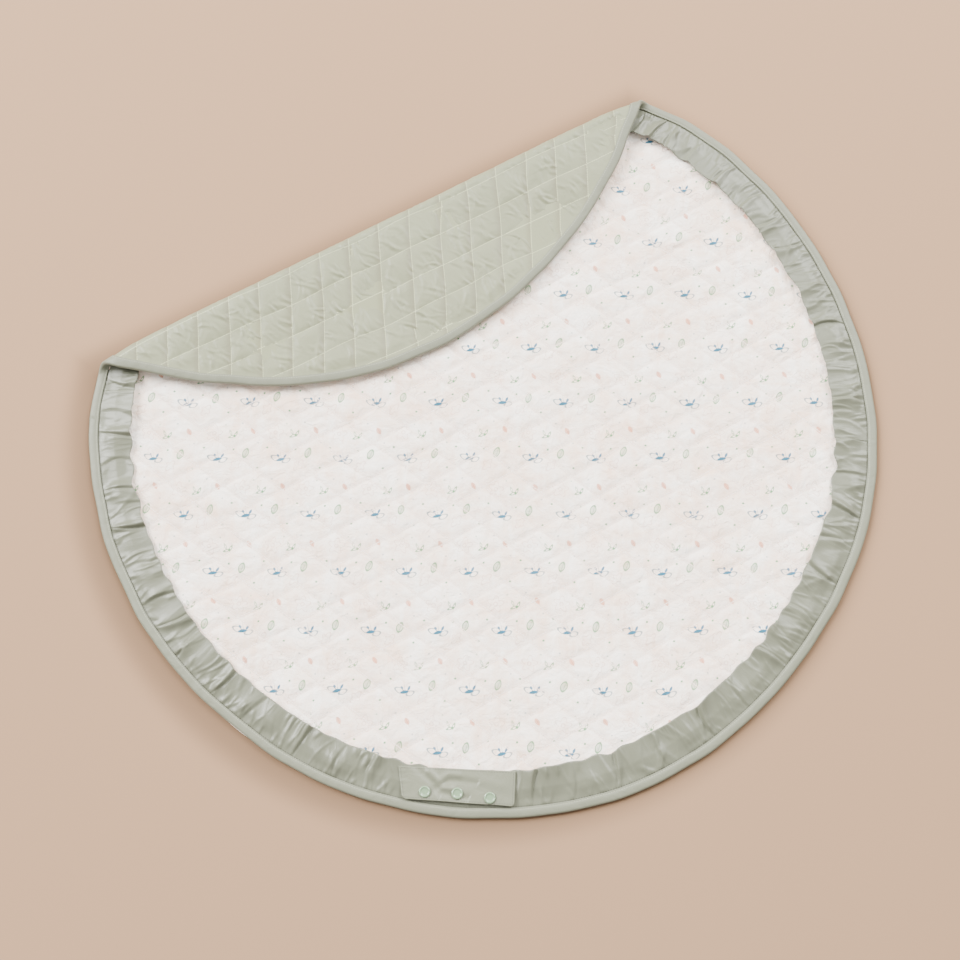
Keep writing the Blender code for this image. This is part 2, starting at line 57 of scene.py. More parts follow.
heights = {
    "backStitch": 1.5 * mm,
    "backTop": 3.0 * mm,
    "topBottom": 3.3 * mm,
    "topStitch": 4.8 * mm,
    "bandInner": 7.3 * mm,        # underside of the band over the quilting
    "bandOuter": 5.1 * mm,        # the same where the quilting ends
    "rimBack": (1.3 * mm, 2.3 * mm),
    "rimTop": (2.6 * mm, 3.6 * mm),
    "rimBand": 3.9 * mm,
}

fold = {
    "bearing": 118.1,
    "distance": 290.0 * mm,
    "height": 24.0 * mm,
    "restHeight": 18.0 * mm,
    "settle": 115.0 * mm,         # length over which the flap comes down
    "ripple": 0.9 * mm,           # how much the flap's height strays along the fold
    "droop": 6.5 * mm,            # the fold's two ends are pulled in and rounded
    "droopFrom": 315.0 * mm,
    "droopOver": 90.0 * mm,
    "droopBand": (235.0 * mm, 50.0 * mm),
    "bendCuts": 12,               # creases given to a panel's hidden face
    "settleCuts": 6,
}

quilt = {
    "pitch": 40.0 * mm,
    "directions": (29.0, -38.0),
    "offsets": (1.2 * mm, 9.0 * mm),
    "wobble": 1.3 * mm,           # how far the stitch lines stray
}

rimDrift = (
    (-185.0, 3.5), (-165.0, 0.5), (-150.0, -2.0), (-128.0, -5.0), (-114.0, -1.5),
    (-88.0, 1.0), (-70.0, 4.5), (-35.0, -1.5), (-14.0, 1.5), (25.0, -3.5),
    (62.0, 3.0), (95.0, -5.0), (128.0, -1.0), (150.0, -5.0), (175.0, 3.5),
)                                 # bearing, and how far the rim strays there in mm


def unitAt(bearing):
    angle = math.radians(bearing)
    return np.array((math.cos(angle), math.sin(angle)))


def ease(share):
    share = np.clip(share, 0.0, 1.0)
    return share * share * (3.0 - 2.0 * share)


def ramp(value, start, end, first, last):
    return first + (last - first) * np.clip((value - start) / (end - start), 0.0, 1.0)


# Smooth unevenness between about -1 and 1, as a sum of plane waves.
def waves(x, y, length, seed, count=7):
    draw = np.random.RandomState(seed)
    total = np.zeros_like(x)
    for _ in range(count):
        turn = draw.uniform(0.0, 2.0 * math.pi)
        reach = length * draw.uniform(0.7, 1.4)
        start = draw.uniform(0.0, 2.0 * math.pi)
        total += np.sin(2.0 * math.pi * (x * math.cos(turn) + y * math.sin(turn)) / reach + start)
    return total / math.sqrt(count)


lineNormals = np.array([unitAt(direction + 90.0) for direction in quilt["directions"]])
planFromLines = np.linalg.inv(lineNormals)


# Place across each set of stitch lines, counted in pitches; a whole number is a line.
def lineSteps(x, y):
    steps = []
    for normal, offset in zip(lineNormals, quilt["offsets"]):
        steps.append((x * normal[0] + y * normal[1] - offset) / quilt["pitch"])
    return steps


# Pillow shape between the stitch lines: 0 on a line and 1 in a cell's middle.
def puffs(stepA, stepB, sharpness):
    shape = np.ones_like(stepA)
    for steps, power in zip((stepA, stepB), sharpness):
        toLine = 2.0 * np.abs(steps - np.round(steps))
        shape = shape * (1.0 - (1.0 - toLine) ** power)
    return shape


# Each cell leans its own way, between about -1 and 1 at its sides.
def cellTilt(stepA, stepB, seed):
    draw = np.random.RandomState(seed)
    leanA, leanB = draw.normal(0.0, 0.5, (2, cellTable, cellTable))
    cellA = np.floor(stepA).astype(int) % cellTable
    cellB = np.floor(stepB).astype(int) % cellTable
    insideA, insideB = stepA - np.floor(stepA) - 0.5, stepB - np.floor(stepB) - 0.5
    return 2.0 * (leanA[cellA, cellB] * insideA + leanB[cellA, cellB] * insideB)


def driftRim(x, y):
    bearings = np.array([row[0] for row in rimDrift])
    drifts = np.array([row[1] for row in rimDrift]) * mm
    turned = bearings[0] + (np.degrees(np.arctan2(y, x)) - bearings[0]) % 360.0
    index = np.clip(np.searchsorted(bearings, turned) - 1, 0, len(bearings) - 2)
    share = (turned - bearings[index]) / (bearings[index + 1] - bearings[index])
    drift = drifts[index] + (drifts[index + 1] - drifts[index]) * ease(share)
    radius = np.hypot(x, y)
    scale = 1.0 + drift * (radius / mat["cutRadius"]) ** 4 / mat["cutRadius"]
    return x * scale, y * scale


foldOut = unitAt(fold["bearing"])
bendCentre = fold["height"] / 2.0
neutralRadius = bendCentre - heights["backTop"]
bendLength = math.pi * neutralRadius


def pastFold(x, y):
    return x * foldOut[0] + y * foldOut[1] - fold["distance"]


# Fold points of the flat layout, and put them where the mat lies.
def foldFlat(x, y, z):
    x, y = driftRim(x, y)
    past = pastFold(x, y)
    across = past + fold["distance"]
    alongX = x - foldOut[0] * across
    alongY = y - foldOut[1] * across
    along = -alongX * foldOut[1] + alongY * foldOut[0]
    turn = np.clip(past, 0.0, bendLength) / neutralRadius
    back = np.maximum(past - bendLength, 0.0)
    arm = bendCentre - z
    place = np.where(past > 0.0, fold["distance"] + arm * np.sin(turn) - back, across)
    drop = ease(back / fold["settle"])
    flapTop = fold["height"] + (fold["restHeight"] - fold["height"]) * drop
    flapTop = flapTop + fold["ripple"] * drop * waves(along, back, 260.0 * mm, 41)
    nearEnd = ease((np.abs(along) - fold["droopFrom"]) / fold["droopOver"])
    droopStart, droopWidth = fold["droopBand"]
    place = place - fold["droop"] * nearEnd ** 2 * ease((place - droopStart) / droopWidth)
    bent = bendCentre - arm * np.cos(turn)
    height = np.where(past >= bendLength, flapTop - z, np.where(past > 0.0, bent, z))
    return np.column_stack((
        alongX + foldOut[0] * place + mat["centre"][0],
        alongY + foldOut[1] * place + mat["centre"][1],
        height,
    ))


def readPoints(data):
    points = np.empty(len(data.vertices) * 3)
    data.vertices.foreach_get("co", points)
    return points.reshape(-1, 3)


def writePoints(data, points):
    data.vertices.foreach_set("co", np.ascontiguousarray(points, dtype=np.float64).ravel())
    data.update()


# A UV map from one pair of numbers for each vertex.
def addUv(data, name, u, v):
    corners = np.empty(len(data.loops), dtype=np.int32)
    data.loops.foreach_get("vertex_index", corners)
    layer = data.uv_layers.new(name=name)
    layer.data.foreach_set("uv", np.column_stack((u[corners], v[corners])).ravel())


def makeObject(name, data, material):
    data.materials.append(material)
    data.polygons.foreach_set("use_smooth", [True] * len(data.polygons))
    piece = bpy.data.objects.new(name, data)
    bpy.context.scene.collection.objects.link(piece)
    return piece


def meshFrom(name, bm):
    data = bpy.data.meshes.new(name)
    bm.to_mesh(data)
    bm.free()
    return data


def finishPiece(piece, slot, *nodes):
    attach(piece, "root")
    if nodes:
        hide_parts(*nodes)
    return piece


# Shader helpers
def newMaterial(name):
    material = bpy.data.materials.new(name)
    material.use_nodes = True
    tree = material.node_tree
    return material, tree, tree.nodes["Principled BSDF"]


def addNode(tree, kind, settings=None, inputs=None):
    node = tree.nodes.new(kind)
    for key, value in (settings or {}).items():
        setattr(node, key, value)
    for key, value in (inputs or {}).items():
        if isinstance(value, bpy.types.NodeSocket):
            tree.links.new(value, node.inputs[key])
        else:
            node.inputs[key].default_value = value
    return node


def maths(tree, operation, first, second=None, third=None):
    inputs = {0: first}
    if second is not None:
        inputs[1] = second
    if third is not None:
        inputs[2] = third
    return addNode(tree, "ShaderNodeMath", {"operation": operation}, inputs).outputs[0]


def mixColour(tree, share, first, second):
    node = addNode(tree, "ShaderNodeMix", {"data_type": "RGBA"})
    for index, value in ((0, share), (6, first), (7, second)):
        if isinstance(value, bpy.types.NodeSocket):
            tree.links.new(value, node.inputs[index])
        else:
            node.inputs[index].default_value = value
    return node.outputs[2]


def vectorMaths(tree, operation, first, second=None, output=0):
    inputs = {0: first}
    if second is not None:
        inputs[1] = second
    return addNode(tree, "ShaderNodeVectorMath", {"operation": operation}, inputs).outputs[output]


def newGroup(name, inputs, outputs):
    group = bpy.data.node_groups.new(name, "ShaderNodeTree")
    for socketName, socketType, value in inputs:
        socket = group.interface.new_socket(socketName, in_out="INPUT", socket_type=socketType)
        if value is not None:
            socket.default_value = value
    for socketName, socketType in outputs:
        group.interface.new_socket(socketName, in_out="OUTPUT", socket_type=socketType)
    return group, group.nodes.new("NodeGroupInput"), group.nodes.new("NodeGroupOutput")


def useGroup(tree, group, inputs):
    return addNode(tree, "ShaderNodeGroup", {"node_tree": group}, inputs)


# Over-and-under threads on a flat vector in metres.
def buildWeave():
    group, source, sink = newGroup(
        "clothWeave",
        (("Vector", "NodeSocketVector", None), ("Threads per metre", "NodeSocketFloat", 1600.0)),
        (("Height", "NodeSocketFloat"), ("Slub", "NodeSocketFloat")),
    )
    scaled = addNode(group, "ShaderNodeVectorMath", {"operation": "SCALE"}, {
        0: source.outputs["Vector"], "Scale": source.outputs["Threads per metre"]}).outputs[0]
    parts = addNode(group, "ShaderNodeSeparateXYZ", inputs={0: scaled})
    sineX = maths(group, "SINE", maths(group, "MULTIPLY", parts.outputs[0], math.pi))
    sineY = maths(group, "SINE", maths(group, "MULTIPLY", parts.outputs[1], math.pi))
    over = maths(group, "MULTIPLY", sineX, sineY)
    height = maths(group, "MULTIPLY_ADD", over, 0.5, 0.5)
    stretch = addNode(group, "ShaderNodeMapping", inputs={
        "Vector": source.outputs["Vector"], "Scale": (60.0, 900.0, 1.0)}).outputs[0]
    slub = addNode(group, "ShaderNodeTexNoise", inputs={
        "Vector": stretch, "Scale": 1.0, "Detail": 3.0}).outputs[0]
    group.links.new(height, sink.inputs["Height"])
    group.links.new(slub, sink.inputs["Slub"])
    return group


# Fine creases of thin cloth, as a height and a soft tone.
def buildCrumple():
    group, source, sink = newGroup(
        "clothCrumple",
        (("Vector", "NodeSocketVector", None), ("Scale", "NodeSocketFloat", 40.0)),
        (("Height", "NodeSocketFloat"), ("Tone", "NodeSocketFloat")),
    )
    coarse = addNode(group, "ShaderNodeTexNoise", inputs={
        "Vector": source.outputs["Vector"], "Scale": source.outputs["Scale"],
        "Detail": 4.0, "Roughness": 0.55, "Distortion": 0.6}).outputs[0]
    ridge = maths(group, "ABSOLUTE", maths(group, "SUBTRACT", coarse, 0.5))
    crease = maths(group, "SUBTRACT", 1.0, maths(group, "MULTIPLY", ridge, 4.0))
    tone = addNode(group, "ShaderNodeTexNoise", inputs={
        "Vector": source.outputs["Vector"],
        "Scale": maths(group, "MULTIPLY", source.outputs["Scale"], 0.2), "Detail": 2.0}).outputs[0]
    group.links.new(crease, sink.inputs["Height"])
    group.links.new(tone, sink.inputs["Tone"])
    return group


# Quilting thread along both sets of lines, and how near a point is to a line; the nearness places painted
# shade in the stitch-line valleys.
def buildStitchLines():
    group, source, sink = newGroup(
        "quiltStitches",
        (("Vector", "NodeSocketVector", None), ("Half width", "NodeSocketFloat", 0.012),
         ("Stitches per pitch", "NodeSocketFloat", 13.0)),
        (("Thread", "NodeSocketFloat"), ("Valley", "NodeSocketFloat"), ("Steep valley", "NodeSocketFloat")),
    )
    parts = addNode(group, "ShaderNodeSeparateXYZ", inputs={0: source.outputs["Vector"]})
    threads = []
    nearness = []
    for across, along in ((0, 1), (1, 0)):
        rounded = maths(group, "ROUND", parts.outputs[across])
        away = maths(group, "ABSOLUTE", maths(group, "SUBTRACT", parts.outputs[across], rounded))
        onLine = maths(group, "LESS_THAN", away, source.outputs["Half width"])
        count = maths(group, "MULTIPLY", parts.outputs[along], source.outputs["Stitches per pitch"])
        dash = maths(group, "LESS_THAN", maths(group, "FRACT", count), 0.8)
        threads.append(maths(group, "MULTIPLY", onLine, dash))
        nearness.append(maths(group, "SUBTRACT", 1.0, maths(group, "MULTIPLY", away, 8.0)))
    thread = maths(group, "MAXIMUM", threads[0], threads[1])
    valleyShade = maths(group, "MAXIMUM", maths(group, "MAXIMUM", nearness[0], nearness[1]), 0.0)
    group.links.new(thread, sink.inputs["Thread"])
    group.links.new(valleyShade, sink.inputs["Valley"])
    # Steep valley: a one-sided mask just before each line of the second set; it places painted shade on the
    # flap
    flank = addNode(group, "ShaderNodeMapRange", {"interpolation_type": "SMOOTHSTEP"}, {
        "Value": maths(group, "FRACT", parts.outputs[1]), "From Min": 0.72, "From Max": 0.99}).outputs[0]
    group.links.new(flank, sink.inputs["Steep valley"])
    return group


# A row of stitches at one radius of the flat layout, read from (arc, radius).
def buildSeam():
    group, source, sink = newGroup(
        "seamRow",
        (("Vector", "NodeSocketVector", None), ("Radius", "NodeSocketFloat", 0.48),
         ("Half width", "NodeSocketFloat", 0.0006), ("Stitch length", "NodeSocketFloat", 0.0033),
         ("Filled", "NodeSocketFloat", 0.6)),
        (("Mask", "NodeSocketFloat"),),
    )
    parts = addNode(group, "ShaderNodeSeparateXYZ", inputs={0: source.outputs["Vector"]})
    away = maths(group, "ABSOLUTE", maths(group, "SUBTRACT", parts.outputs[1], source.outputs["Radius"]))
    onRow = maths(group, "LESS_THAN", away, source.outputs["Half width"])
    along = maths(group, "FRACT", maths(group, "DIVIDE", parts.outputs[0], source.outputs["Stitch length"]))
    filled = maths(group, "LESS_THAN", along, source.outputs["Filled"])
    group.links.new(maths(group, "MULTIPLY", onRow, filled), sink.inputs["Mask"])
    return group


seamGroup = buildSeam()
weaveGroup = buildWeave()
crumpleGroup = buildCrumple()
stitchGroup = buildStitchLines()


def uvVector(tree, name):
    return addNode(tree, "ShaderNodeUVMap", {"uv_map": name}).outputs[0]


# Chain bump nodes, each with its height, its strength and its depth in metres.
def clothFinish(tree, shader, bumps):
    normal = None
    for height, strength, distance in bumps:
        inputs = {"Height": height, "Strength": strength, "Distance": distance}
        if normal is not None:
            inputs["Normal"] = normal
        normal = addNode(tree, "ShaderNodeBump", inputs=inputs).outputs[0]
    tree.links.new(normal, shader.inputs["Normal"])


satin = {
    "flap": (0.203, 0.212, 0.126),
    "band": (0.125, 0.130, 0.088),
    "tab": (0.150, 0.156, 0.106),
    "binding": (0.150, 0.156, 0.107),
    "shade": 0.88,
    # valley: colour of the painted shade on one flank of each stitch line of the quilted flap
    "valleyShade": (0.110, 0.092, 0.050),
    "roughness": 0.42,
    "roughnessSpread": 0.12,
    "threads": 2600.0,            # per metre
    "weave": 0.06 * mm,
    "crumple": 0.55 * mm,
    "stitch": 0.35 * mm,
}


# Thin sage satin: fine weave, faint slubs, and a soft crumple.
def makeSatin(name, colour, roughness=None, quilted=False, seam=None, stretch=1.0):
    material, tree, shader = newMaterial(name)
    flat = uvVector(tree, "flat")
    weave = useGroup(tree, weaveGroup, {"Vector": flat, "Threads per metre": satin["threads"]})
    drawn = addNode(tree, "ShaderNodeMapping", inputs={
        "Vector": flat, "Scale": (1.0, stretch, 1.0)}).outputs[0]
    crumple = useGroup(tree, crumpleGroup, {"Vector": drawn, "Scale": 60.0})
    light = (*colour, 1.0)
    dark = (*[channel * satin["shade"] for channel in colour], 1.0)
    tone = mixColour(tree, crumple.outputs["Tone"], dark, light)
    slub = maths(tree, "MULTIPLY", weave.outputs["Slub"], 0.12)
    tone = mixColour(tree, slub, tone, dark)
    bumps = [
        (crumple.outputs["Height"], 0.5, satin["crumple"]),
        (weave.outputs["Height"], 0.25, satin["weave"]),
    ]
    if quilted:
        steps = uvVector(tree, "lines")
        stitches = useGroup(tree, stitchGroup, {"Vector": steps})
        # Painted shade: the quilted flap is darkened on one flank of each stitch line of the second set,
        # where the valleys lie in shade
        shade = (*satin["valleyShade"], 1.0)
        tone = mixColour(tree, maths(tree, "MULTIPLY", stitches.outputs["Steep valley"], 0.4), tone, shade)
        thread = (*[min(1.0, channel * 2.0) for channel in colour], 1.0)
        tone = mixColour(tree, maths(tree, "MULTIPLY", stitches.outputs["Thread"], 0.8), tone, thread)
        bumps.append((stitches.outputs["Thread"], 0.6, satin["stitch"]))
    if seam:
        row = useGroup(tree, seamGroup, {
            "Vector": uvVector(tree, seam["map"]),
            "Radius": seam["radius"],
            "Half width": seam["half"],
        })
        share = maths(tree, "MULTIPLY", row.outputs["Mask"], seam["share"])
        tone = mixColour(tree, share, tone, (*seam["colour"], 1.0))
    tree.links.new(tone, shader.inputs["Base Color"])
    spread = satin["roughnessSpread"]
    smoothest = (roughness or satin["roughness"]) - spread / 2.0
    rough = maths(tree, "MULTIPLY_ADD", crumple.outputs["Tone"], spread, smoothest)
    tree.links.new(rough, shader.inputs["Roughness"])
    shader.inputs["Sheen Weight"].default_value = 0.15
    shader.inputs["Sheen Roughness"].default_value = 0.4
    clothFinish(tree, shader, bumps)
    return material


# The printed top: a generic half-drop pattern of sprigs, leaves, drops and dots
printDesign = {
    "repeat": (80.0, 74.0),       # mm, each second row is moved along by half
    "petalDepth": 0.28,
    "threads": 1500.0,            # per metre
    "thread": (0.960, 0.900, 0.840),
    "cotton": (0.950, 0.880, 0.800),
    "blush": (0.840, 0.620, 0.480),
    # valley: colour of the painted shade along the stitch lines of the top
    "valleyShade": (0.680, 0.450, 0.330),
    "blue": (0.000, 0.105, 0.200),
    "slate": (0.020, 0.105, 0.130),
    "sage": (0.035, 0.210, 0.055),
    "peach": (0.560, 0.150, 0.050),
    "pink": (0.420, 0.150, 0.100),
}

# The shapes, by ink.  Each has its centre in the repeat, turn, and half length and half width
# in mm.  A tip under 2 points its ends, and one with a line is an outline that wide each way.
printShapes = {
    "blue": (
        {"at": (22.0, 20.0), "turn": 12.0, "half": (5.5, 2.2), "tip": 1.3, "print": 1.0},
        {"at": (27.8, 24.8), "turn": 64.0, "half": (3.4, 1.5), "tip": 1.4, "print": 0.95},
        {"at": (19.0, 25.5), "turn": 130.0, "half": (2.1, 1.4), "print": 0.9},
    ),
    "slate": (
        {"at": (16.0, 22.0), "turn": 155.0, "half": (6.0, 3.4), "tip": 1.3, "line": 0.42, "print": 0.75},
        {"at": (29.5, 18.5), "turn": 24.0, "half": (5.0, 3.0), "tip": 1.3, "line": 0.42, "print": 0.7},
        {"at": (23.0, 22.5), "turn": 100.0, "half": (8.5, 0.35), "print": 0.5},
        {"at": (73.0, 42.0), "turn": 0.0, "half": (1.1, 1.1), "print": 0.4},
        {"at": (52.0, 68.0), "turn": 30.0, "half": (1.4, 1.4), "tip": 0.6, "print": 0.45},
    ),
    "sage": (
        {"at": (57.0, 28.0), "turn": 70.0, "half": (6.0, 3.7), "tip": 1.5, "line": 0.5, "print": 0.8},
        {"at": (57.0, 28.0), "turn": 70.0, "half": (5.4, 3.2), "tip": 1.5, "print": 0.38},
        {"at": (57.5, 27.6), "turn": 70.0, "half": (7.5, 0.4), "print": 0.5},
        {"at": (38.0, 50.0), "turn": 20.0, "half": (3.4, 1.4), "tip": 1.3, "line": 0.4, "print": 0.8},
        {"at": (43.0, 53.0), "turn": 64.0, "half": (3.2, 1.3), "tip": 1.3, "line": 0.4, "print": 0.8},
        {"at": (36.5, 55.0), "turn": 110.0, "half": (2.8, 1.2), "tip": 1.3, "line": 0.4, "print": 0.55},
        {"at": (5.0, 36.0), "turn": 0.0, "half": (1.5, 1.5), "tip": 0.6, "print": 0.9},
        {"at": (41.0, 33.0), "turn": 45.0, "half": (1.5, 1.5), "tip": 0.6, "print": 0.9},
        {"at": (73.0, 9.0), "turn": 20.0, "half": (1.5, 1.5), "tip": 0.6, "print": 0.9},
        {"at": (30.0, 66.0), "turn": 30.0, "half": (1.1, 1.1), "print": 0.45},
    ),
    "peach": (
        {"at": (66.0, 58.0), "turn": 118.0, "half": (4.6, 2.9), "tip": 1.5, "print": 0.62},
        {"at": (66.6, 57.0), "turn": 118.0, "half": (5.2, 0.4), "print": 0.6},
    ),
    "pink": (
        {"at": (16.0, 55.0), "turn": 8.0, "half": (8.0, 8.0), "petals": 5, "line": 0.6, "print": 0.32},
        {"at": (16.0, 55.0), "turn": 30.0, "half": (2.2, 2.2), "line": 0.5, "print": 0.35},
        {"at": (45.0, 12.0), "turn": 50.0, "half": (6.5, 4.5), "petals": 4, "line": 0.6, "print": 0.3},
    ),
}


# One printed shape: a mask of a filled or outlined leaf, drop, dot or flower.
def buildPrintShape():
    group, source, sink = newGroup(
        "printShape",
        (("Vector", "NodeSocketVector", None), ("Centre", "NodeSocketVector", None),
         ("Turn", "NodeSocketFloat", 0.0), ("Half length", "NodeSocketFloat", 1.0),
         ("Half width", "NodeSocketFloat", 1.0), ("Tip", "NodeSocketFloat", 2.0),
         ("Petals", "NodeSocketFloat", 0.0), ("Petal depth", "NodeSocketFloat", 0.0),
         ("Line", "NodeSocketFloat", 0.0)),
        (("Mask", "NodeSocketFloat"),),
    )
    moved = vectorMaths(group, "SUBTRACT", source.outputs["Vector"], source.outputs["Centre"])
    turned = addNode(group, "ShaderNodeVectorRotate", {"rotation_type": "Z_AXIS"}, {
        "Vector": moved, "Angle": source.outputs["Turn"]}).outputs[0]
    parts = addNode(group, "ShaderNodeSeparateXYZ", inputs={0: turned})
    shares = []
    for axis, half in enumerate(("Half length", "Half width")):
        away = maths(group, "ABSOLUTE", parts.outputs[axis])
        shares.append(maths(group, "DIVIDE", away, source.outputs[half]))
    angle = maths(group, "ARCTAN2", parts.outputs[1], parts.outputs[0])
    lobes = maths(group, "COSINE", maths(group, "MULTIPLY", angle, source.outputs["Petals"]))
    swell = maths(group, "MULTIPLY_ADD", lobes, source.outputs["Petal depth"], 1.0)
    total = maths(group, "ADD",
                  maths(group, "POWER", shares[0], source.outputs["Tip"]),
                  maths(group, "POWER", shares[1], 2.0))
    offset = maths(group, "SUBTRACT", maths(group, "SQRT", total), swell)
    outward = maths(group, "MULTIPLY", offset, source.outputs["Half width"])
    filled = maths(group, "SUBTRACT", 0.5, maths(group, "MULTIPLY", outward, 2.5))
    lineAway = maths(group, "SUBTRACT", maths(group, "ABSOLUTE", outward), source.outputs["Line"])
    lined = maths(group, "SUBTRACT", 0.5, maths(group, "MULTIPLY", lineAway, 4.0))
    isLine = maths(group, "GREATER_THAN", source.outputs["Line"], 0.01)
    chosen = addNode(group, "ShaderNodeMix", {"data_type": "FLOAT"}, {0: isLine, 2: filled, 3: lined})
    mask = addNode(group, "ShaderNodeClamp", inputs={0: chosen.outputs[0]}).outputs[0]
    group.links.new(mask, sink.inputs["Mask"])
    return group


# Thin crinkled cotton with the pale print.
def makePrintCotton():
    material, tree, shader = newMaterial("printCotton")
    flat = uvVector(tree, "flat")
    wide, tall = printDesign["repeat"]
    parts = addNode(tree, "ShaderNodeSeparateXYZ", inputs={0: flat})
    rows = maths(tree, "DIVIDE", parts.outputs[1], tall * mm)
    row = maths(tree, "FLOOR", rows)
    shift = maths(tree, "MULTIPLY", maths(tree, "PINGPONG", row, 1.0), 0.5)
    columns = maths(tree, "ADD", maths(tree, "DIVIDE", parts.outputs[0], wide * mm), shift)
    cellX = maths(tree, "MULTIPLY", maths(tree, "FRACT", columns), wide)
    cellY = maths(tree, "MULTIPLY", maths(tree, "FRACT", rows), tall)
    cell = addNode(tree, "ShaderNodeCombineXYZ", inputs={0: cellX, 1: cellY}).outputs[0]
    blotches = []
    for stretch in ((14.0, 55.0, 1.0), (55.0, 14.0, 1.0), (9.0, 9.0, 1.0)):
        drawn = addNode(tree, "ShaderNodeMapping", inputs={"Vector": flat, "Scale": stretch}).outputs[0]
        blotches.append(addNode(tree, "ShaderNodeTexNoise", inputs={
            "Vector": drawn, "Scale": 1.0, "Detail": 5.0, "Roughness": 0.65, "Distortion": 0.5}).outputs[0])
    together = maths(tree, "ADD", maths(tree, "ADD", blotches[0], blotches[1]), blotches[2])
    mottle = addNode(tree, "ShaderNodeMapRange", inputs={
        "Value": together, "From Min": 1.25, "From Max": 1.80}).outputs[0]
    colour = mixColour(tree, mottle, (*printDesign["cotton"], 1.0), (*printDesign["blush"], 1.0))
    shapeGroup = buildPrintShape()
    for ink, shapes in printShapes.items():
        for shape in shapes:
            petals = shape.get("petals", 0)
            mask = useGroup(tree, shapeGroup, {
                "Vector": cell,
                "Centre": (*shape["at"], 0.0),
                "Turn": -math.radians(shape["turn"]),
                "Half length": shape["half"][0],
                "Half width": shape["half"][1],
                "Tip": shape.get("tip", 2.0),
                "Petals": float(petals),
                "Petal depth": printDesign["petalDepth"] if petals else 0.0,
                "Line": shape.get("line", 0.0),
            }).outputs["Mask"]
            share = maths(tree, "MULTIPLY", mask, shape["print"])
            colour = mixColour(tree, share, colour, (*printDesign[ink], 1.0))
    weave = useGroup(tree, weaveGroup, {"Vector": flat, "Threads per metre": printDesign["threads"]})
    crumple = useGroup(tree, crumpleGroup, {"Vector": flat, "Scale": 45.0})
    crinkle = useGroup(tree, crumpleGroup, {"Vector": flat, "Scale": 210.0})
    stitches = useGroup(tree, stitchGroup, {"Vector": uvVector(tree, "lines"), "Half width": 0.013})
    # Painted shade: the cotton darkens close to each stitch line, where the quilting valleys lie in shade
    valleyShade = maths(tree, "MULTIPLY", maths(tree, "POWER", stitches.outputs["Valley"], 4.0), 0.7)
    colour = mixColour(tree, valleyShade, colour, (*printDesign["valleyShade"], 1.0))
    sewn = maths(tree, "MULTIPLY", stitches.outputs["Thread"], 0.7)
    colour = mixColour(tree, sewn, colour, (*printDesign["thread"], 1.0))
    tree.links.new(colour, shader.inputs["Base Color"])
    rough = maths(tree, "MULTIPLY_ADD", weave.outputs["Slub"], 0.15, 0.78)
    tree.links.new(rough, shader.inputs["Roughness"])
    shader.inputs["Sheen Weight"].default_value = 0.2
    shader.inputs["Sheen Roughness"].default_value = 0.6
    clothFinish(tree, shader, [
        (crumple.outputs["Height"], 0.7, 1.5 * mm),
        (crinkle.outputs["Height"], 0.7, 0.5 * mm),
        (weave.outputs["Height"], 0.4, 0.1 * mm),
        (stitches.outputs["Thread"], 0.6, 0.3 * mm),
    ])
    return material


studShades = ((0.150, 0.220, 0.130), (0.180, 0.250, 0.150))


def makeStudPlastic():
    material, tree, shader = newMaterial("studPlastic")
    coords = addNode(tree, "ShaderNodeTexCoord").outputs["Object"]
    mottle = addNode(tree, "ShaderNodeTexNoise", inputs={"Vector": coords, "Scale": 400.0}).outputs[0]
    dark, light = studShades
    colour = mixColour(tree, mottle, (*dark, 1.0), (*light, 1.0))
    tree.links.new(colour, shader.inputs["Base Color"])
    rough = maths(tree, "MULTIPLY_ADD", mottle, 0.1, 0.12)
    tree.links.new(rough, shader.inputs["Roughness"])
    shader.inputs["Coat Weight"].default_value = 0.4
    clothFinish(tree, shader, [(mottle, 0.1, 0.1 * mm)])
    return material


printCotton = makePrintCotton()
flapSatin = makeSatin("flapSatin", satin["flap"], 0.5, quilted=True)
needleHoles = {
    "map": "flat", "radius": mat["bindingEdge"] - 1.2 * mm, "half": 0.5 * mm,
    "share": 0.6, "colour": (0.02, 0.018, 0.014),
}
tapeStitches = {
    "map": "flat", "radius": mat["bindingEdge"] + 1.9 * mm, "half": 0.35 * mm,
    "share": 0.6, "colour": (0.30, 0.30, 0.22),
}
edgeStitches = {
    "map": "edge", "radius": 2.4 * mm, "half": 0.35 * mm,
    "share": 0.7, "colour": (0.04, 0.04, 0.03),
}
bandSatin = makeSatin("bandSatin", satin["band"], seam=needleHoles, stretch=0.25)
bindingSatin = makeSatin("bindingSatin", satin["binding"], 0.55, seam=tapeStitches)
tabSatin = makeSatin("tabSatin", satin["tab"], 0.45, seam=edgeStitches)
studPlastic = makeStudPlastic()
print("materials made")


# The two quilted panels
topQuilt = {
    "cellsPerPitch": 6,
    "extraCuts": 1,
    "rise": 1.8 * mm,             # from a stitch line to a puff's crown
    "sharpness": (4.5, 4.5),      # how steeply a puff leaves each set of lines
    "uneven": 0.35,               # how much the puffs differ in height
    "tilt": 0.9 * mm,             # how far a puff leans
    "undulation": 1.0 * mm,
    "underBand": 14.0 * mm,       # how far the fine grid runs on under the band
    "underFlap": 60.0 * mm,       # where the flap covers and presses it
    "pressed": 0.72,
    "strokes": 5,                 # drag wrinkles in a cell
    "strokeHeight": 0.8 * mm,
    "strokeWidth": (1.8, 3.4),
}
backQuilt = {
    "cellsPerPitch": 7,
    "extraCuts": 3,
    "rise": 1.2 * mm,
    "sharpness": (3.0, 3.4),
    "uneven": 0.35,
    "tilt": 1.3 * mm,
    "undulation": 1.2 * mm,
    "turning": 14.0 * mm,         # the puffs are pulled flat round the bend, over this length
    "flatRim": (474.0 * mm, 487.0 * mm),
    "strokes": 9,
    "strokeHeight": 1.1 * mm,
    "strokeWidth": (1.4, 3.2),
}


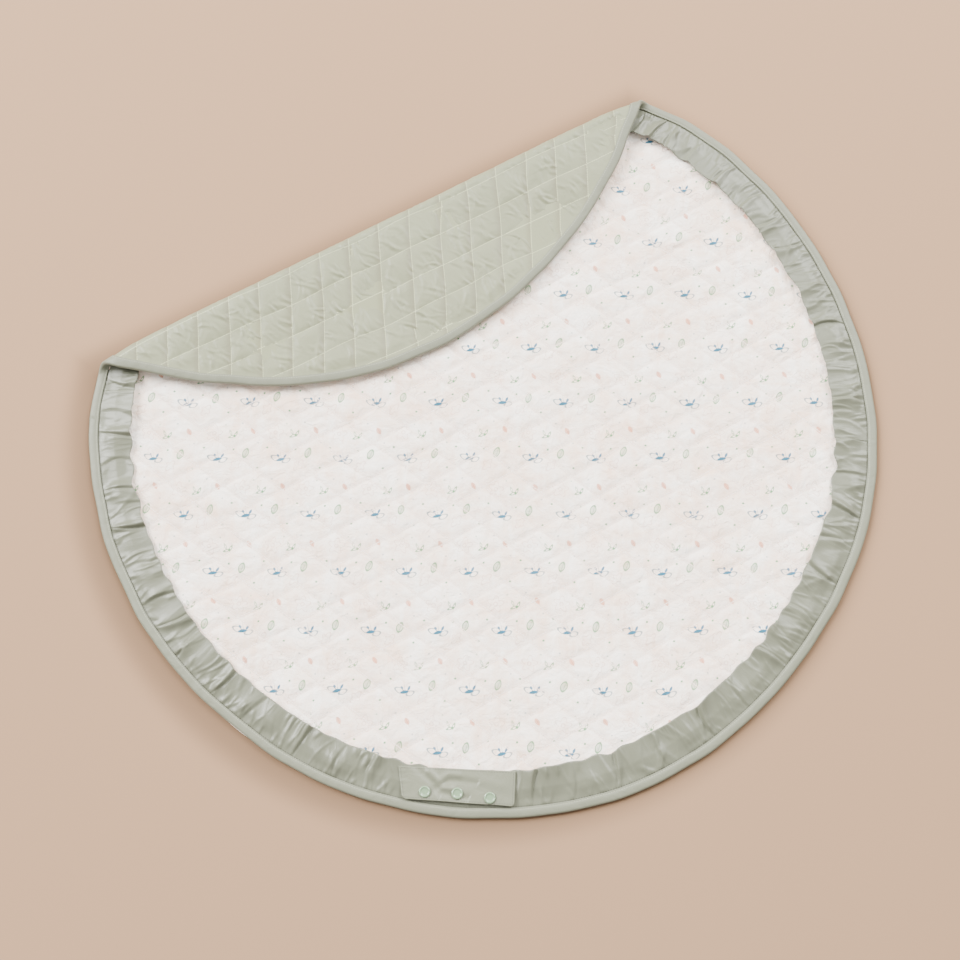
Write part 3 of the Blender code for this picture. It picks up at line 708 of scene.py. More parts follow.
# A disc on the quilting's own grid, finer where it shows, closed by one plain face.
def flatPanel(cellsPerPitch, extraCuts, isShown, visibleSide):
    bm = bmesh.new()
    reach = math.ceil(mat["cutRadius"] / quilt["pitch"]) + 1
    count = 2 * reach * cellsPerPitch
    bmesh.ops.create_grid(bm, x_segments=count, y_segments=count, size=reach)
    skew = Matrix.Identity(4)
    for row in range(2):
        for column in range(2):
            skew[row][column] = planFromLines[row][column] * quilt["pitch"]
    start = planFromLines @ np.array(quilt["offsets"])
    skew[0][3], skew[1][3] = start
    bmesh.ops.transform(bm, matrix=skew, verts=bm.verts)
    outside = [v for v in bm.verts if v.co.xy.length > mat["cutRadius"]]
    bmesh.ops.delete(bm, geom=outside, context="VERTS")
    for vertex in bm.verts:
        if vertex.is_boundary:
            vertex.co = vertex.co.normalized() * mat["cutRadius"]
    shownEdges = [e for e in bm.edges if all(isShown(v.co) for v in e.verts)]
    bmesh.ops.subdivide_edges(bm, edges=shownEdges, cuts=extraCuts, use_grid_fill=True)
    for vertex in bm.verts:
        vertex.co.z = visibleSide
    rim = [e for e in bm.edges if e.is_boundary]
    hem = bmesh.ops.extrude_edge_only(bm, edges=rim)["geom"]
    for item in hem:
        if isinstance(item, bmesh.types.BMVert):
            item.co.z = 1.0 - visibleSide
    hemEdges = [item for item in hem if isinstance(item, bmesh.types.BMEdge) and item.is_boundary]
    plain = bmesh.ops.edgeloop_fill(bm, edges=hemEdges)["faces"]
    geometry = plain + list(plain[0].edges) + list(plain[0].verts)
    bendCuts, settleCuts = fold["bendCuts"], fold["settleCuts"]
    creases = [bendLength * step / bendCuts for step in range(bendCuts + 1)]
    creases += [bendLength + fold["settle"] * step / settleCuts for step in range(1, settleCuts + 1)]
    for past in creases:
        cut = bmesh.ops.bisect_plane(
            bm, geom=geometry, dist=tiny,
            plane_co=(*(foldOut * (fold["distance"] + past)), 0.0),
            plane_no=(*foldOut, 0.0),
        )
        geometry = cut["geom"]
    faces = [item for item in geometry if isinstance(item, bmesh.types.BMFace)]
    bmesh.ops.triangulate(bm, faces=faces)
    bmesh.ops.recalc_face_normals(bm, faces=bm.faces)
    return bm


# Short drag wrinkles inside the cells, each a soft ridge with a trough beside it.
def strokeRelief(x, y, stepA, stepB, settings, lean, seed, wanted):
    draw = np.random.RandomState(seed)
    relief = np.zeros_like(x)
    cellA = np.floor(stepA).astype(int)
    cellB = np.floor(stepB).astype(int)
    key = (cellA + 100) * 1000 + (cellB + 100)
    order = np.argsort(key, kind="stable")
    edges = np.flatnonzero(np.diff(key[order])) + 1
    for members in np.split(order, edges):
        if not wanted[members].any():
            continue
        middleX, middleY = x[members].mean(), y[members].mean()
        for _ in range(settings["strokes"]):
            turn = math.radians(lean + draw.normal(0.0, 16.0))
            length = draw.uniform(6.0, 18.0) * mm
            width = draw.uniform(*settings["strokeWidth"]) * mm
            shiftX, shiftY = draw.uniform(-19.0, 19.0, 2) * mm
            size = draw.uniform(0.15, 1.0) * settings["strokeHeight"]
            bend = draw.uniform(-35.0, 35.0)
            relX = x[members] - middleX - shiftX
            relY = y[members] - middleY - shiftY
            along = relX * math.cos(turn) + relY * math.sin(turn)
            across = -relX * math.sin(turn) + relY * math.cos(turn) + bend * along ** 2
            ridge = (1.0 - (across / width) ** 2) * np.exp(-0.5 * (across / width) ** 2)
            relief[members] += size * ridge * np.exp(-(along / length) ** 2)
    return relief


def cellUneven(stepA, stepB, share, seed):
    draw = np.random.RandomState(seed)
    table = draw.uniform(1.0 - share, 1.0 + share, (cellTable, cellTable))
    return table[np.floor(stepA).astype(int) % cellTable, np.floor(stepB).astype(int) % cellTable]


# The stitch lines wander a little, so the cloth is moved in its own plane.
def wobbled(x, y):
    return (
        x + quilt["wobble"] * waves(x, y, 150.0 * mm, 3),
        y + quilt["wobble"] * waves(x, y, 150.0 * mm, 4),
    )


# Underside of the band where it lies flat on the top panel.
def bandFloor(radius):
    over, dipped = heights["bandInner"], heights["bandOuter"]
    outer = ramp(radius, mat["quiltRadius"], mat["cutRadius"], dipped, heights["rimBand"])
    inner = ramp(radius, mat["bandStep"], mat["quiltRadius"], over, dipped)
    return np.where(radius > mat["quiltRadius"], outer, inner)


def makeTopPanel():
    bm = flatPanel(
        topQuilt["cellsPerPitch"], topQuilt["extraCuts"],
        lambda co: co.xy.length < mat["bandEdge"] + topQuilt["underBand"]
        and pastFold(co.x, co.y) < -topQuilt["underFlap"],
        1.0,
    )
    data = meshFrom("quiltedTop", bm)
    points = readPoints(data)
    x, y, share = points.T
    radius = np.hypot(x, y)
    stepA, stepB = lineSteps(x, y)
    addUv(data, "flat", x, y)
    addUv(data, "lines", stepA, stepB)
    under = pastFold(x, y) > -topQuilt["underFlap"]
    calm = ramp(radius, 430.0 * mm, mat["bandEdge"] + 10.0 * mm, 1.0, 0.0)
    shape = puffs(stepA, stepB, topQuilt["sharpness"])
    puffed = topQuilt["rise"] * shape * cellUneven(stepA, stepB, topQuilt["uneven"], 11)
    puffed = puffed + topQuilt["tilt"] * shape * cellTilt(stepA, stepB, 13)
    drag = strokeRelief(x, y, stepA, stepB, topQuilt, 20.0, 21, share > 0.5)
    swell = topQuilt["undulation"] * (0.5 + 0.5 * waves(x, y, 170.0 * mm, 12))
    byBand = ramp(radius, mat["bandEdge"] - 12.0 * mm, mat["bandEdge"] + 4.0 * mm, 1.0, 0.7)
    pressed = np.where(under, topQuilt["pressed"], 1.0) * byBand
    crown = heights["topStitch"] + (puffed + (drag + swell) * calm) * pressed
    crown = np.where(radius > mat["bandEdge"], np.minimum(crown, bandFloor(radius) - 0.4 * mm), crown)
    slope = ramp(radius, mat["quiltRadius"], mat["cutRadius"], heights["topStitch"], heights["rimTop"][1])
    upper = np.where(radius > mat["quiltRadius"], np.minimum(slope, crown), crown)
    lower = ramp(radius, mat["quiltRadius"], mat["cutRadius"], heights["topBottom"], heights["rimTop"][0])
    z = lower * (1.0 - share) + upper * share
    x, y = wobbled(x, y)
    writePoints(data, foldFlat(x, y, z))
    piece = makeObject("quiltedTop", data, printCotton)
    return finishPiece(piece, "print_cotton", "top_panel")


# A long crease wanders over the flap: plan points in the flat layout
flapCrease = {
    "points": ((-96.0, 356.0), (-122.0, 400.0), (-118.0, 425.0), (-150.0, 462.0)),
    "height": 1.3 * mm,
    "width": 3.4 * mm,
}


# A soft fold along a given path: a ridge with a trough on one side.
def creaseRelief(x, y, settings):
    route = np.array(settings["points"]) * mm
    nearest = np.full_like(x, 1.0)
    side = np.zeros_like(x)
    for start, end in zip(route, route[1:]):
        run = end - start
        length = np.hypot(*run)
        share = np.clip(((x - start[0]) * run[0] + (y - start[1]) * run[1]) / length ** 2, 0.0, 1.0)
        offX = x - start[0] - share * run[0]
        offY = y - start[1] - share * run[1]
        away = np.hypot(offX, offY)
        closer = away < nearest
        nearest = np.where(closer, away, nearest)
        side = np.where(closer, (offX * run[1] - offY * run[0]) / length, side)
    width = settings["width"]
    ridge = np.exp(-(nearest / width) ** 2)
    trough = np.exp(-((side - width * 1.6) / width) ** 2) * (nearest < 6.0 * width)
    return settings["height"] * (ridge - 0.7 * trough)


def makeBackPanel():
    bm = flatPanel(
        backQuilt["cellsPerPitch"], backQuilt["extraCuts"],
        lambda co: pastFold(co.x, co.y) > -2.0 * mm,
        0.0,
    )
    data = meshFrom("quiltedBack", bm)
    points = readPoints(data)
    x, y, share = points.T
    radius = np.hypot(x, y)
    stepA, stepB = lineSteps(x, y)
    addUv(data, "flat", x, y)
    addUv(data, "lines", stepA, stepB)
    past = pastFold(x, y)
    onFlap = ease(past / (20.0 * mm))
    turning = backQuilt["turning"]
    bending = ease(past / turning + 1.0) * (1.0 - ease((past - bendLength * 0.7) / turning))
    flatFrom, flatAt = backQuilt["flatRim"]
    edge = ramp(radius, flatFrom, flatAt, 1.0, 0.0) * (1.0 - 0.75 * bending)
    shape = puffs(stepA, stepB, backQuilt["sharpness"])
    puffed = backQuilt["rise"] * shape * cellUneven(stepA, stepB, backQuilt["uneven"], 31)
    puffed = puffed + backQuilt["tilt"] * shape * cellTilt(stepA, stepB, 34)
    drag = strokeRelief(x, y, stepA, stepB, backQuilt, 101.0, 32, pastFold(x, y) > 0.0)
    drag = drag + creaseRelief(x, y, flapCrease)
    swell = backQuilt["undulation"] * waves(x, y, 140.0 * mm, 33)
    lifted = heights["backStitch"] - (puffed + drag + swell) * edge
    lying = np.maximum(heights["backStitch"] - puffed * edge, 0.0)
    lower = lying * (1.0 - onFlap) + lifted * onFlap
    lower = np.where(radius > flatAt, heights["rimBack"][0], lower)
    upper = ramp(radius, mat["quiltRadius"], mat["cutRadius"], heights["backTop"], heights["rimBack"][1])
    z = lower * (1.0 - share) + upper * share
    x, y = wobbled(x, y)
    writePoints(data, foldFlat(x, y, z))
    piece = makeObject("quiltedBack", data, flapSatin)
    return finishPiece(piece, "sage_back", "back_panel")


topPiece = makeTopPanel()
print("top panel:", len(topPiece.data.polygons), "faces")
backPiece = makeBackPanel()
print("back panel:", len(backPiece.data.polygons), "faces")


# The binding: a tape folded over the edge, spun about the mat's centre
binding = {
    "radius": 500.2 * mm,
    "steps": 720,
    "legs": (1.0 * mm, 5.2 * mm),  # upper face of the lower leg, lower face of the upper leg
    "cloth": 0.9 * mm,
    "lip": 0.75 * mm,             # how much the upper leg rises towards its inner edge
    "pucker": 0.22 * mm,
}


def makeBinding():
    inner, outer = mat["bindingEdge"], binding["radius"]
    low, high = binding["legs"]
    cloth, lip = binding["cloth"], binding["lip"]
    top = high + lip + cloth
    middle = (low + high) / 2.0
    section = (
        (inner, 0.1 * mm), (inner + 2.0 * mm, 0.0), (outer - 2.2 * mm, 0.1 * mm),
        (outer - 0.9 * mm, 0.7 * mm), (outer - 0.1 * mm, 2.0 * mm), (outer, middle),
        (outer - 0.2 * mm, 4.6 * mm), (outer - 1.0 * mm, 5.7 * mm), (outer - 2.6 * mm, 6.3 * mm),
        (outer - 5.5 * mm, top - 0.15 * mm), (outer - 8.5 * mm, top + 0.15 * mm),
        (inner + 2.6 * mm, top - 0.1 * mm), (inner + 1.7 * mm, top - 0.45 * mm),
        (inner + 0.8 * mm, top - 0.1 * mm), (inner, top - 0.4 * mm), (inner - 0.1 * mm, high + lip),
        (inner + 5.0 * mm, high + lip * 0.6), (outer - 1.5 * mm, high), (outer - 1.3 * mm, middle),
        (outer - 1.5 * mm, low), (inner, low),
    )
    bm = bmesh.new()
    corners = [bm.verts.new((radius, 0.0, height)) for radius, height in section]
    edges = [bm.edges.new(pair) for pair in zip(corners, corners[1:] + corners[:1])]
    bmesh.ops.spin(
        bm, geom=edges, cent=(0.0, 0.0, 0.0), axis=(0.0, 0.0, 1.0),
        angle=2.0 * math.pi, steps=binding["steps"], use_merge=True,
    )
    bmesh.ops.recalc_face_normals(bm, faces=bm.faces)
    data = meshFrom("rimBinding", bm)
    x, y, z = readPoints(data).T
    radius = np.hypot(x, y)
    bearing = np.arctan2(y, x)
    arc = bearing * mat["cutRadius"]
    addUv(data, "flat", arc, radius)
    onFlap = ease(pastFold(x, y) / (10.0 * mm))
    shown = ramp(z, 4.0 * mm, 5.5 * mm, 0.0, 1.0) + ramp(z, 1.0 * mm, 0.2 * mm, 0.0, 1.0) * onFlap
    pinch = waves(arc, radius * 0.0, 11.0 * mm, 51) + 0.7 * waves(arc, radius * 0.0, 37.0 * mm, 52)
    inward = ramp(radius, mat["bindingEdge"], outer, 1.0, 0.35)
    z = z + binding["pucker"] * pinch * inward * shown * np.where(z > middle, 1.0, -1.0)
    stray = 0.5 * mm * waves(arc, radius * 0.0, 60.0 * mm, 53)
    scale = 1.0 + stray / mat["cutRadius"]
    writePoints(data, foldFlat(x * scale, y * scale, z))
    piece = makeObject("rimBinding", data, bindingSatin)
    return finishPiece(piece, "sage_binding", "binding")


bindingPiece = makeBinding()
print("binding:", len(bindingPiece.data.polygons), "faces")


# The gathered band.  Each fold: bearing, lean from binding to free edge, height at the
# middle and at the free edge in mm, pull of the free edge in mm, and its half width in mm.
band = {
    "columnsPerDegree": 8,
    "rows": 30,
    "cloth": 0.5 * mm,
    "seams": (-184.8, -3.5),
    "flutter": 1.0 * mm,
    "soft": 1.5 * mm,             # height of the broad, soft waves
    "edgeLift": 2.2 * mm,
    "wrinkles": 420,              # short drag wrinkles on each half of the ring
    "wrinkleHeight": 1.5 * mm,
    "wrinkleWidth": (1.2, 3.6),
    "wrinkleLength": (6.0, 26.0),
    "calm": (-177.0, 9.0, 0.65),  # a smoother stretch: bearing, half length, how much smoother
}

bandFolds = (
    (-186.4, 1.2, 3.0, 3.0, 0.0, 7.0), (-181.5, 0.3, 1.5, 2.0, 0.0, 9.0), (-177.7, 0.8, 3.0, 4.5, 1.0, 5.0),
    (-173.5, -0.8, 2.0, 1.5, 3.0, 8.0), (-168.8, 0.3, 3.0, 2.0, 5.0, 5.0), (-162.4, 1.1, 4.0, 5.0, 2.0, 4.5),
    (-156.5, 0.5, 1.5, 1.5, 0.0, 9.0), (-150.2, 0.5, 3.0, 2.0, -1.0, 5.0), (-145.3, 1.5, 4.0, 5.0, 0.0, 4.5),
    (-141.0, -0.8, 3.0, 1.5, 0.0, 6.0), (-133.4, 0.2, 3.5, 4.5, 0.0, 4.5), (-127.5, 0.8, 2.0, 1.5, 0.0, 7.0),
    (-118.5, 0.4, 3.0, 4.5, 0.0, 4.5), (-112.5, 0.3, 2.0, 1.0, 0.0, 6.0), (-107.0, 0.5, 2.5, 2.5, 0.0, 5.0),
    (-82.9, 0.8, 3.0, 4.5, 2.0, 4.5), (-77.0, 0.4, 1.5, 1.0, 0.0, 7.0), (-70.0, 1.2, 4.0, 4.5, 2.0, 4.5),
    (-63.0, 0.5, 2.0, 1.5, 0.0, 6.0), (-55.0, 0.8, 4.0, 5.0, 3.0, 4.5), (-48.5, 0.6, 2.5, 1.5, 0.0, 6.0),
    (-41.2, -1.0, 4.0, 4.5, 2.0, 4.5), (-33.0, 0.4, 3.0, 3.5, 1.0, 5.0), (-25.5, 1.5, 3.0, 3.0, -1.0, 5.0),
    (-20.5, -0.8, 2.0, 2.0, 0.0, 6.0), (-14.8, 1.4, 4.5, 4.0, 5.0, 4.5), (-8.5, 0.4, 1.5, 2.5, 3.0, 7.0),
    (2.8, 0.2, 2.5, 3.0, 0.0, 5.0), (9.0, 0.5, 1.5, 1.5, 0.0, 7.0), (16.4, 1.1, 4.0, 4.5, 0.0, 4.5),
    (23.0, 0.5, 1.5, 2.0, 2.0, 7.0), (30.4, 1.0, 3.5, 4.5, 0.0, 4.5), (35.6, 0.3, 2.5, 2.5, 0.0, 5.0),
    (40.5, 0.2, 3.0, 3.0, 0.0, 4.5), (46.8, 0.4, 3.5, 4.5, 2.0, 4.5), (53.0, 0.6, 2.0, 1.5, 4.0, 8.0),
    (57.5, -0.6, 3.0, 3.0, 4.0, 5.0), (60.5, 0.8, 4.0, 4.0, 2.0, 4.0), (63.5, -0.5, 3.5, 3.5, 0.0, 4.0),
)


# The main tucks: a ridge with one steep side, and a crease at its foot.
def bandTucks(bearing, inward):
    arcPerDegree = math.radians(1.0) * 467.0 * mm
    lift = np.zeros_like(bearing)
    for place, lean, middle, edge, _, width in bandFolds:
        for turn in (0.0, 360.0):
            bow = 0.5 * math.sin(place * 7.0) * (inward * (1.0 - inward) * 4.0 - 0.5)
            away = (bearing - place - turn - lean * (inward - 0.5) - bow) * arcPerDegree
            away = away * (1.0 if math.sin(place * 3.0) > -0.3 else -1.0)
            near = np.abs(away) < 40.0 * mm
            if not near.any():
                continue
            away, depth = away[near], inward[near]
            towardsEdge = middle + (edge - middle) * ease(depth * 2.0 - 1.0)
            rise = np.where(depth < 0.5, middle * ease(depth * 1.4 + 0.3), towardsEdge)
            spread = 0.45 + 0.9 * depth
            steep = np.where(away > 0.0, width * 0.4, width * 1.5) * spread * mm
            foot = np.exp(-((away - width * 0.75 * spread * mm) / (width * 0.35 * mm)) ** 2)
            lift[near] += (rise * np.exp(-(away / steep) ** 2) - 0.3 * rise * foot) * mm
    return lift


# Drag wrinkles that run in from the binding, or out from the free edge.
def bandWrinkles(arc, depth, seed):
    draw = np.random.RandomState(seed)
    lift = np.zeros_like(arc)
    first, last = arc.min(), arc.max()
    wide = depth.max()
    for _ in range(band["wrinkles"]):
        place = draw.uniform(first, last)
        length = draw.uniform(*band["wrinkleLength"]) * mm
        width = draw.uniform(*band["wrinkleWidth"]) * mm
        size = draw.uniform(0.2, 1.0) * band["wrinkleHeight"] * math.sqrt(width / (3.0 * mm))
        turn = math.radians(draw.normal(0.0, 17.0))
        bend = draw.normal(0.0, 9.0)
        start = length * 0.35 if draw.uniform() < 0.62 else wide - length * draw.uniform(0.0, 0.9)
        near = np.abs(arc - place) < 32.0 * mm
        run = (depth[near] - start) * math.cos(turn) + (arc[near] - place) * math.sin(turn)
        off = (arc[near] - place) * math.cos(turn) - (depth[near] - start) * math.sin(turn) + bend * run ** 2
        flank = np.where(off > 0.0, width * 0.7, width * 1.4)
        lift[near] += size * np.exp(-(off / flank) ** 2 - (run / length) ** 4)
    return lift


def makeBand(name, start, end, seed):
    spans = int((end - start) * band["columnsPerDegree"])
    bm = bmesh.new()
    bmesh.ops.create_grid(bm, x_segments=spans, y_segments=band["rows"], size=0.5)
    data = meshFrom(name, bm)
    points = readPoints(data)
    bearing = start + (points[:, 0] + 0.5) * (end - start)
    share = points[:, 1] + 0.5
    cut, edge = mat["cutRadius"], mat["bindingEdge"] - 0.4 * mm
    wide = cut - mat["bandEdge"]
    depth = np.maximum(share * wide - (cut - edge), 0.0)
    inward = depth / (edge - mat["bandEdge"])
    arc = np.radians(bearing) * edge
    pull = np.zeros_like(bearing)
    for place, _, _, _, drawn, _ in bandFolds:
        for turn in (0.0, 360.0):
            pull = pull + drawn * mm * np.exp(-((bearing - place - turn) / 1.7) ** 2)
    pull = pull + band["flutter"] * waves(arc, arc * 0.0, 24.0 * mm, seed)
    radius = cut - share * wide + pull * inward ** 2
    addUv(data, "flat", arc, cut - share * wide)
    hidden = ease((np.abs((bearing - fold["bearing"] + 180.0) % 360.0 - 180.0) - 50.0) / 6.0)
    underTab = ease((np.abs(bearing + 94.0) - 8.5) / 2.0)
    soft = band["soft"] * (1.0 + waves(arc, depth * 0.5, 48.0 * mm, seed + 5)) * ease(depth / (15.0 * mm))
    slack = band["edgeLift"] * inward ** 2 * (1.0 + 0.8 * waves(arc, arc * 0.0, 120.0 * mm, seed + 41))
    middle, reach, calmer = band["calm"]
    away = (bearing - middle + 180.0) % 360.0 - 180.0
    wrinkled = bandWrinkles(arc, depth, seed + 7) * (1.0 - calmer * np.exp(-(away / reach) ** 4))
    lift = 0.95 * bandTucks(bearing, inward) + wrinkled + soft + np.maximum(slack, 0.0)
    lift = np.maximum(lift, 0.0) * (0.25 + 0.75 * hidden) * (0.2 + 0.8 * underTab) * ease(depth / (2.0 * mm))
    z = bandFloor(radius) + lift
    angle = np.radians(bearing)
    writePoints(data, foldFlat(radius * np.cos(angle), radius * np.sin(angle), z))
    piece = makeObject(name, data, bandSatin)
    shell = piece.modifiers.new("cloth", "SOLIDIFY")
    shell.thickness = band["cloth"]
    shell.offset = 0.0
    return piece


firstSeam, secondSeam = band["seams"]
nearBand = finishPiece(makeBand("bandNear", firstSeam, secondSeam - 0.04, 61), "sage_satin", "band_near")
farBand = finishPiece(makeBand("bandFar", secondSeam, firstSeam + 359.96, 71), "sage_satin", "band_far")
print("band:", len(nearBand.data.polygons) + len(farBand.data.polygons), "faces")


# The snap flap: double cloth, sewn down at its left end, with three press studs
snapFlap = {
    # inner left, inner right, outer right and outer left, in mm
    "corners": ((-103.0, -439.5), (38.0, -445.0), (36.0, -486.5), (-98.0, -478.0)),
    "size": (138.0 * mm, 43.0 * mm),
    "bottom": 8.6 * mm,
    "cloth": 1.6 * mm,
    "cells": (120, 38),
    "round": 5.5 * mm,
    "studs": ((-71.0, -470.0), (-32.0, -471.5), (7.0, -476.5)),
}
stud = {
    "section": (
        (0.0, 1.45), (2.2, 1.47), (4.1, 1.55), (4.6, 1.75), (4.95, 2.15), (5.4, 2.3),
        (6.1, 2.2), (6.7, 1.85), (7.0, 1.2), (6.95, 0.5), (6.5, 0.1), (0.0, 0.1),
    ),
    "steps": 64,
}

# Soft creases of the snap flap: where each starts and ends in plan, its height and half width
snapCreases = (
    {
        "points": ((-66.0, -446.0), (-56.0, -455.0), (-50.0, -464.0), (-40.0, -466.0)),
        "height": 1.9 * mm, "width": 4.2 * mm,
    },
    {"points": ((-52.0, -455.0), (-42.0, -449.0), (-30.0, -450.0)), "height": 1.3 * mm, "width": 4.2 * mm},
    {"points": ((-20.0, -452.0), (0.0, -456.0), (20.0, -462.0)), "height": 0.5 * mm, "width": 6.0 * mm},
)


def snapHeight(x, y, out):
    swell = 0.5 * mm * (1.0 + waves(x, y, 70.0 * mm, 81))
    relief = sum(creaseRelief(x, y, crease) for crease in snapCreases)
    left = ramp(x, -100.0 * mm, -86.0 * mm, 1.0, 0.0)
    ticks = 0.25 * mm * left * waves(y, x * 0.0, 7.0 * mm, 82)
    return snapFlap["bottom"] + snapFlap["cloth"] + swell * (1.0 - 0.5 * out) + relief + ticks


def makeSnapFlap():
    wide, tall = snapFlap["cells"]
    bm = bmesh.new()
    bmesh.ops.create_grid(bm, x_segments=wide, y_segments=tall, size=0.5)
    innerLeft, innerRight, outerRight, outerLeft = np.array(snapFlap["corners"]) * mm
    data = meshFrom("snapFlap", bm)
    points = readPoints(data)
    u = points[:, 0] + 0.5
    v = 0.5 - points[:, 1]
    length, depth = snapFlap["size"]
    # draw the two outer corners round
    cornerU = np.where(u > 0.5, (1.0 - u) * length, u * length)
    cornerV = (1.0 - v) * depth
    reach = snapFlap["round"]
    toU = np.maximum(reach - cornerU, 0.0)
    toV = np.maximum(reach - cornerV, 0.0)
    away = np.hypot(toU, toV)
    longest = np.maximum(toU, toV)
    squeeze = np.where(away > 0.0, longest / np.maximum(away, 1e-9), 1.0)
    newU = reach - toU * squeeze
    newV = reach - toV * squeeze
    u = np.where(toU > 0.0, np.where(u > 0.5, 1.0 - newU / length, newU / length), u)
    v = np.where(toV > 0.0, 1.0 - newV / depth, v)
    inner = innerLeft + np.outer(u, innerRight - innerLeft)
    outer = outerLeft + np.outer(u, outerRight - outerLeft)
    plan = inner + (outer - inner) * v[:, None]
    x, y = plan.T
    y = y + 0.6 * mm * waves(x, x * 0.0, 45.0 * mm, 83) * (v > 0.98)
    z = snapHeight(x, y, v)
    addUv(data, "flat", x, y)
    toEnds = np.minimum(u, 1.0 - u) * length
    toSides = np.minimum(v, 1.0 - v) * depth
    addUv(data, "edge", np.where(toEnds < toSides, v * depth, u * length), np.minimum(toEnds, toSides))
    writePoints(data, foldFlat(x, y, z))
    piece = makeObject("snapFlap", data, tabSatin)
    shell = piece.modifiers.new("double cloth", "SOLIDIFY")
    shell.thickness = snapFlap["cloth"]
    shell.offset = -1.0
    rounding = piece.modifiers.new("turned edge", "BEVEL")
    rounding.width = 0.6 * mm
    rounding.segments = 2
    rounding.limit_method = "ANGLE"
    return finishPiece(piece, "sage_satin", "snap_flap")


def makeStud(name, place, node):
    bm = bmesh.new()
    corners = [bm.verts.new((radius * mm, 0.0, height * mm)) for radius, height in stud["section"]]
    edges = [bm.edges.new(pair) for pair in zip(corners, corners[1:])]
    bmesh.ops.spin(
        bm, geom=corners + edges, cent=(0.0, 0.0, 0.0), axis=(0.0, 0.0, 1.0),
        angle=2.0 * math.pi, steps=stud["steps"], use_merge=True,
    )
    bmesh.ops.remove_doubles(bm, verts=bm.verts, dist=tiny)
    bmesh.ops.recalc_face_normals(bm, faces=bm.faces)
    x, y = place[0] * mm, place[1] * mm
    ring = np.linspace(0.0, 2.0 * math.pi, 12, endpoint=False)
    seat = snapHeight(x + 6.0 * mm * np.cos(ring), y + 6.0 * mm * np.sin(ring), np.full(12, 0.7))
    seatPoint = foldFlat(np.array([x]), np.array([y]), np.array([seat.mean()]))[0]
    bmesh.ops.translate(bm, verts=bm.verts, vec=seatPoint)
    data = meshFrom(name, bm)
    piece = makeObject(name, data, studPlastic)
    return finishPiece(piece, "stud_plastic", node)


snapPiece = makeSnapFlap()
studPieces = [
    makeStud(name, place, node)
    for name, place, node in zip(
        ("studLeft", "studMiddle", "studRight"), snapFlap["studs"],
        ("stud_left", "stud_middle", "stud_right"),
    )
]
print("snap flap and studs made")


# The floor, the light and the camera
studio = {
    "floorColour": (0.325, 0.200, 0.118),
    "floorLightFalloff": (-0.17, 0.55),   # painted light falloff: the floor grows lighter towards the back and the left
    "floorTones": (0.76, 1.04, 0.05),  # darkest and lightest floor, and the tone of the painted shadow
    "shadeDepth": 0.43,           # painted shadow: how much darker the floor is right beside the mat
    "shadeWidth": 42.0 * mm,
    "shadeShift": (-13.0 * mm, -8.0 * mm),
    "lens": 62.43,
    "eye": (-3.3 * mm, -636.3 * mm, 2025.0 * mm),
    "tilt": 15.98,
    # the two big lights: strength, bearing, elevation and how wide they look, in degrees
    "suns": {"keyLight": (10.5, 150.0, 38.0, 35.0), "sideLight": (6.0, 48.0, 36.0, 35.0)},
    "fillPower": 60.0,
    "fillPlace": (0.6, 1.4, 2.6),
    "fillSize": 2.0,
    "sky": 1.1,
    "skyColour": (1.0, 0.985, 0.96),
}


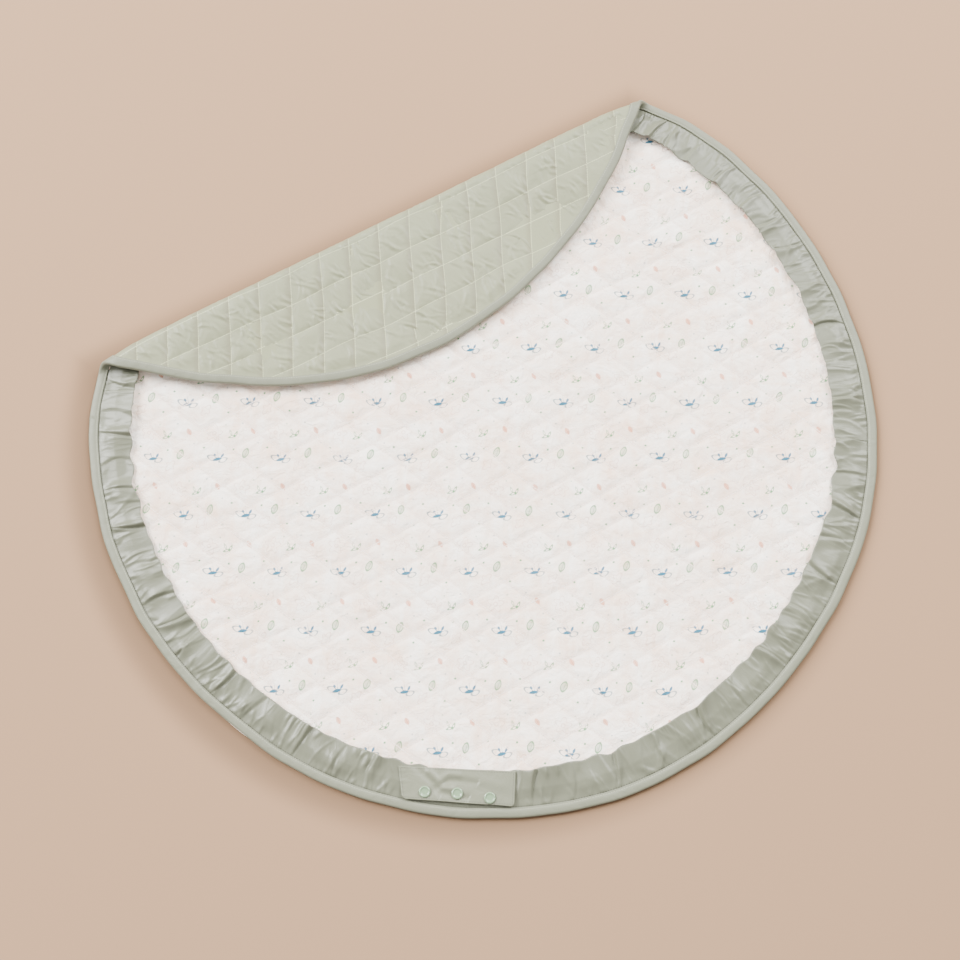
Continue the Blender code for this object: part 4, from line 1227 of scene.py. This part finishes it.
def makeFloor():
    bm = bmesh.new()
    bmesh.ops.create_grid(bm, x_segments=2, y_segments=2, size=4.0)
    bmesh.ops.translate(bm, verts=bm.verts, vec=(0.0, 0.0, -0.2 * mm))
    material, tree, shader = newMaterial("paleFloor")
    coords = addNode(tree, "ShaderNodeTexCoord").outputs["Object"]
    # A soft shadow is painted into the floor's colour: darker near the binding and beyond the fold, with its
    # middle shifted towards the lower left
    shiftX, shiftY = studio["shadeShift"]
    middle = (mat["centre"][0] + shiftX, mat["centre"][1] + shiftY, 0.0)
    local = vectorMaths(tree, "SUBTRACT", coords, middle)
    flat = vectorMaths(tree, "MULTIPLY", local, (1.0, 1.0, 0.0))
    radius = vectorMaths(tree, "LENGTH", flat, output="Value")
    across = vectorMaths(tree, "DOT_PRODUCT", local, (*foldOut, 0.0), "Value")
    beyondRim = maths(tree, "SUBTRACT", radius, binding["radius"])
    beyondFold = maths(tree, "SUBTRACT", across, fold["distance"] + fold["height"] / 2.0)
    away = maths(tree, "MAXIMUM", beyondRim, beyondFold)
    near = addNode(tree, "ShaderNodeMapRange", {"interpolation_type": "SMOOTHERSTEP"}, {
        "Value": away, "From Min": -10.0 * mm, "From Max": studio["shadeWidth"],
        "To Min": studio["shadeDepth"], "To Max": 0.0}).outputs[0]
    base = studio["floorColour"]
    drift = addNode(tree, "ShaderNodeTexNoise", inputs={"Vector": coords, "Scale": 1.2}).outputs[0]
    # Painted light falloff: the floor's colour grows lighter towards the back and the left
    down = vectorMaths(tree, "DOT_PRODUCT", coords, (*studio["floorLightFalloff"], 0.0), "Value")
    tone = maths(tree, "ADD", maths(tree, "MULTIPLY", drift, 0.2), maths(tree, "ADD", down, 0.4))
    darker, lighter, paintedShadowTone = [(*[c * share for c in base], 1.0) for share in studio["floorTones"]]
    colour = mixColour(tree, tone, darker, lighter)
    shaded = mixColour(tree, near, colour, paintedShadowTone)
    tree.links.new(shaded, shader.inputs["Base Color"])
    shader.inputs["Roughness"].default_value = 0.9
    shader.inputs["Specular IOR Level"].default_value = 0.1
    makeObject("floor", meshFrom("floor", bm), material)


def aim(lamp, place, target):
    lamp.location = place
    lamp.rotation_euler = (Vector(target) - Vector(place)).to_track_quat("-Z", "Y").to_euler()
    bpy.context.scene.collection.objects.link(lamp)


def makeStudio():
    makeFloor()
    for name, (strength, bearing, elevation, angle) in studio["suns"].items():
        sun = bpy.data.lights.new(name, "SUN")
        sun.energy = strength
        sun.angle = math.radians(angle)
        rise = math.radians(elevation)
        toSun = unitAt(bearing) * math.cos(rise)
        aim(bpy.data.objects.new(name, sun), (toSun[0], toSun[1], math.sin(rise)), (0.0, 0.0, 0.0))
    fill = bpy.data.lights.new("fillLight", "AREA")
    fill.energy = studio["fillPower"]
    fill.size = studio["fillSize"]
    aim(bpy.data.objects.new("fillLight", fill), studio["fillPlace"], (0.0, 0.0, 0.0))
    world = bpy.data.worlds.new("softStudio")
    world.use_nodes = True
    world.node_tree.nodes["Background"].inputs["Color"].default_value = (*studio["skyColour"], 1.0)
    world.node_tree.nodes["Background"].inputs["Strength"].default_value = studio["sky"]
    bpy.context.scene.world = world
    lens = bpy.data.cameras.new("photoView")
    lens.lens = studio["lens"]
    lens.sensor_width = 36.0
    camera = bpy.data.objects.new("photoView", lens)
    camera.location = studio["eye"]
    camera.rotation_euler = (math.radians(studio["tilt"]), 0.0, 0.0)
    bpy.context.scene.collection.objects.link(camera)
    bpy.context.scene.camera = camera


makeStudio()
print("studio made")
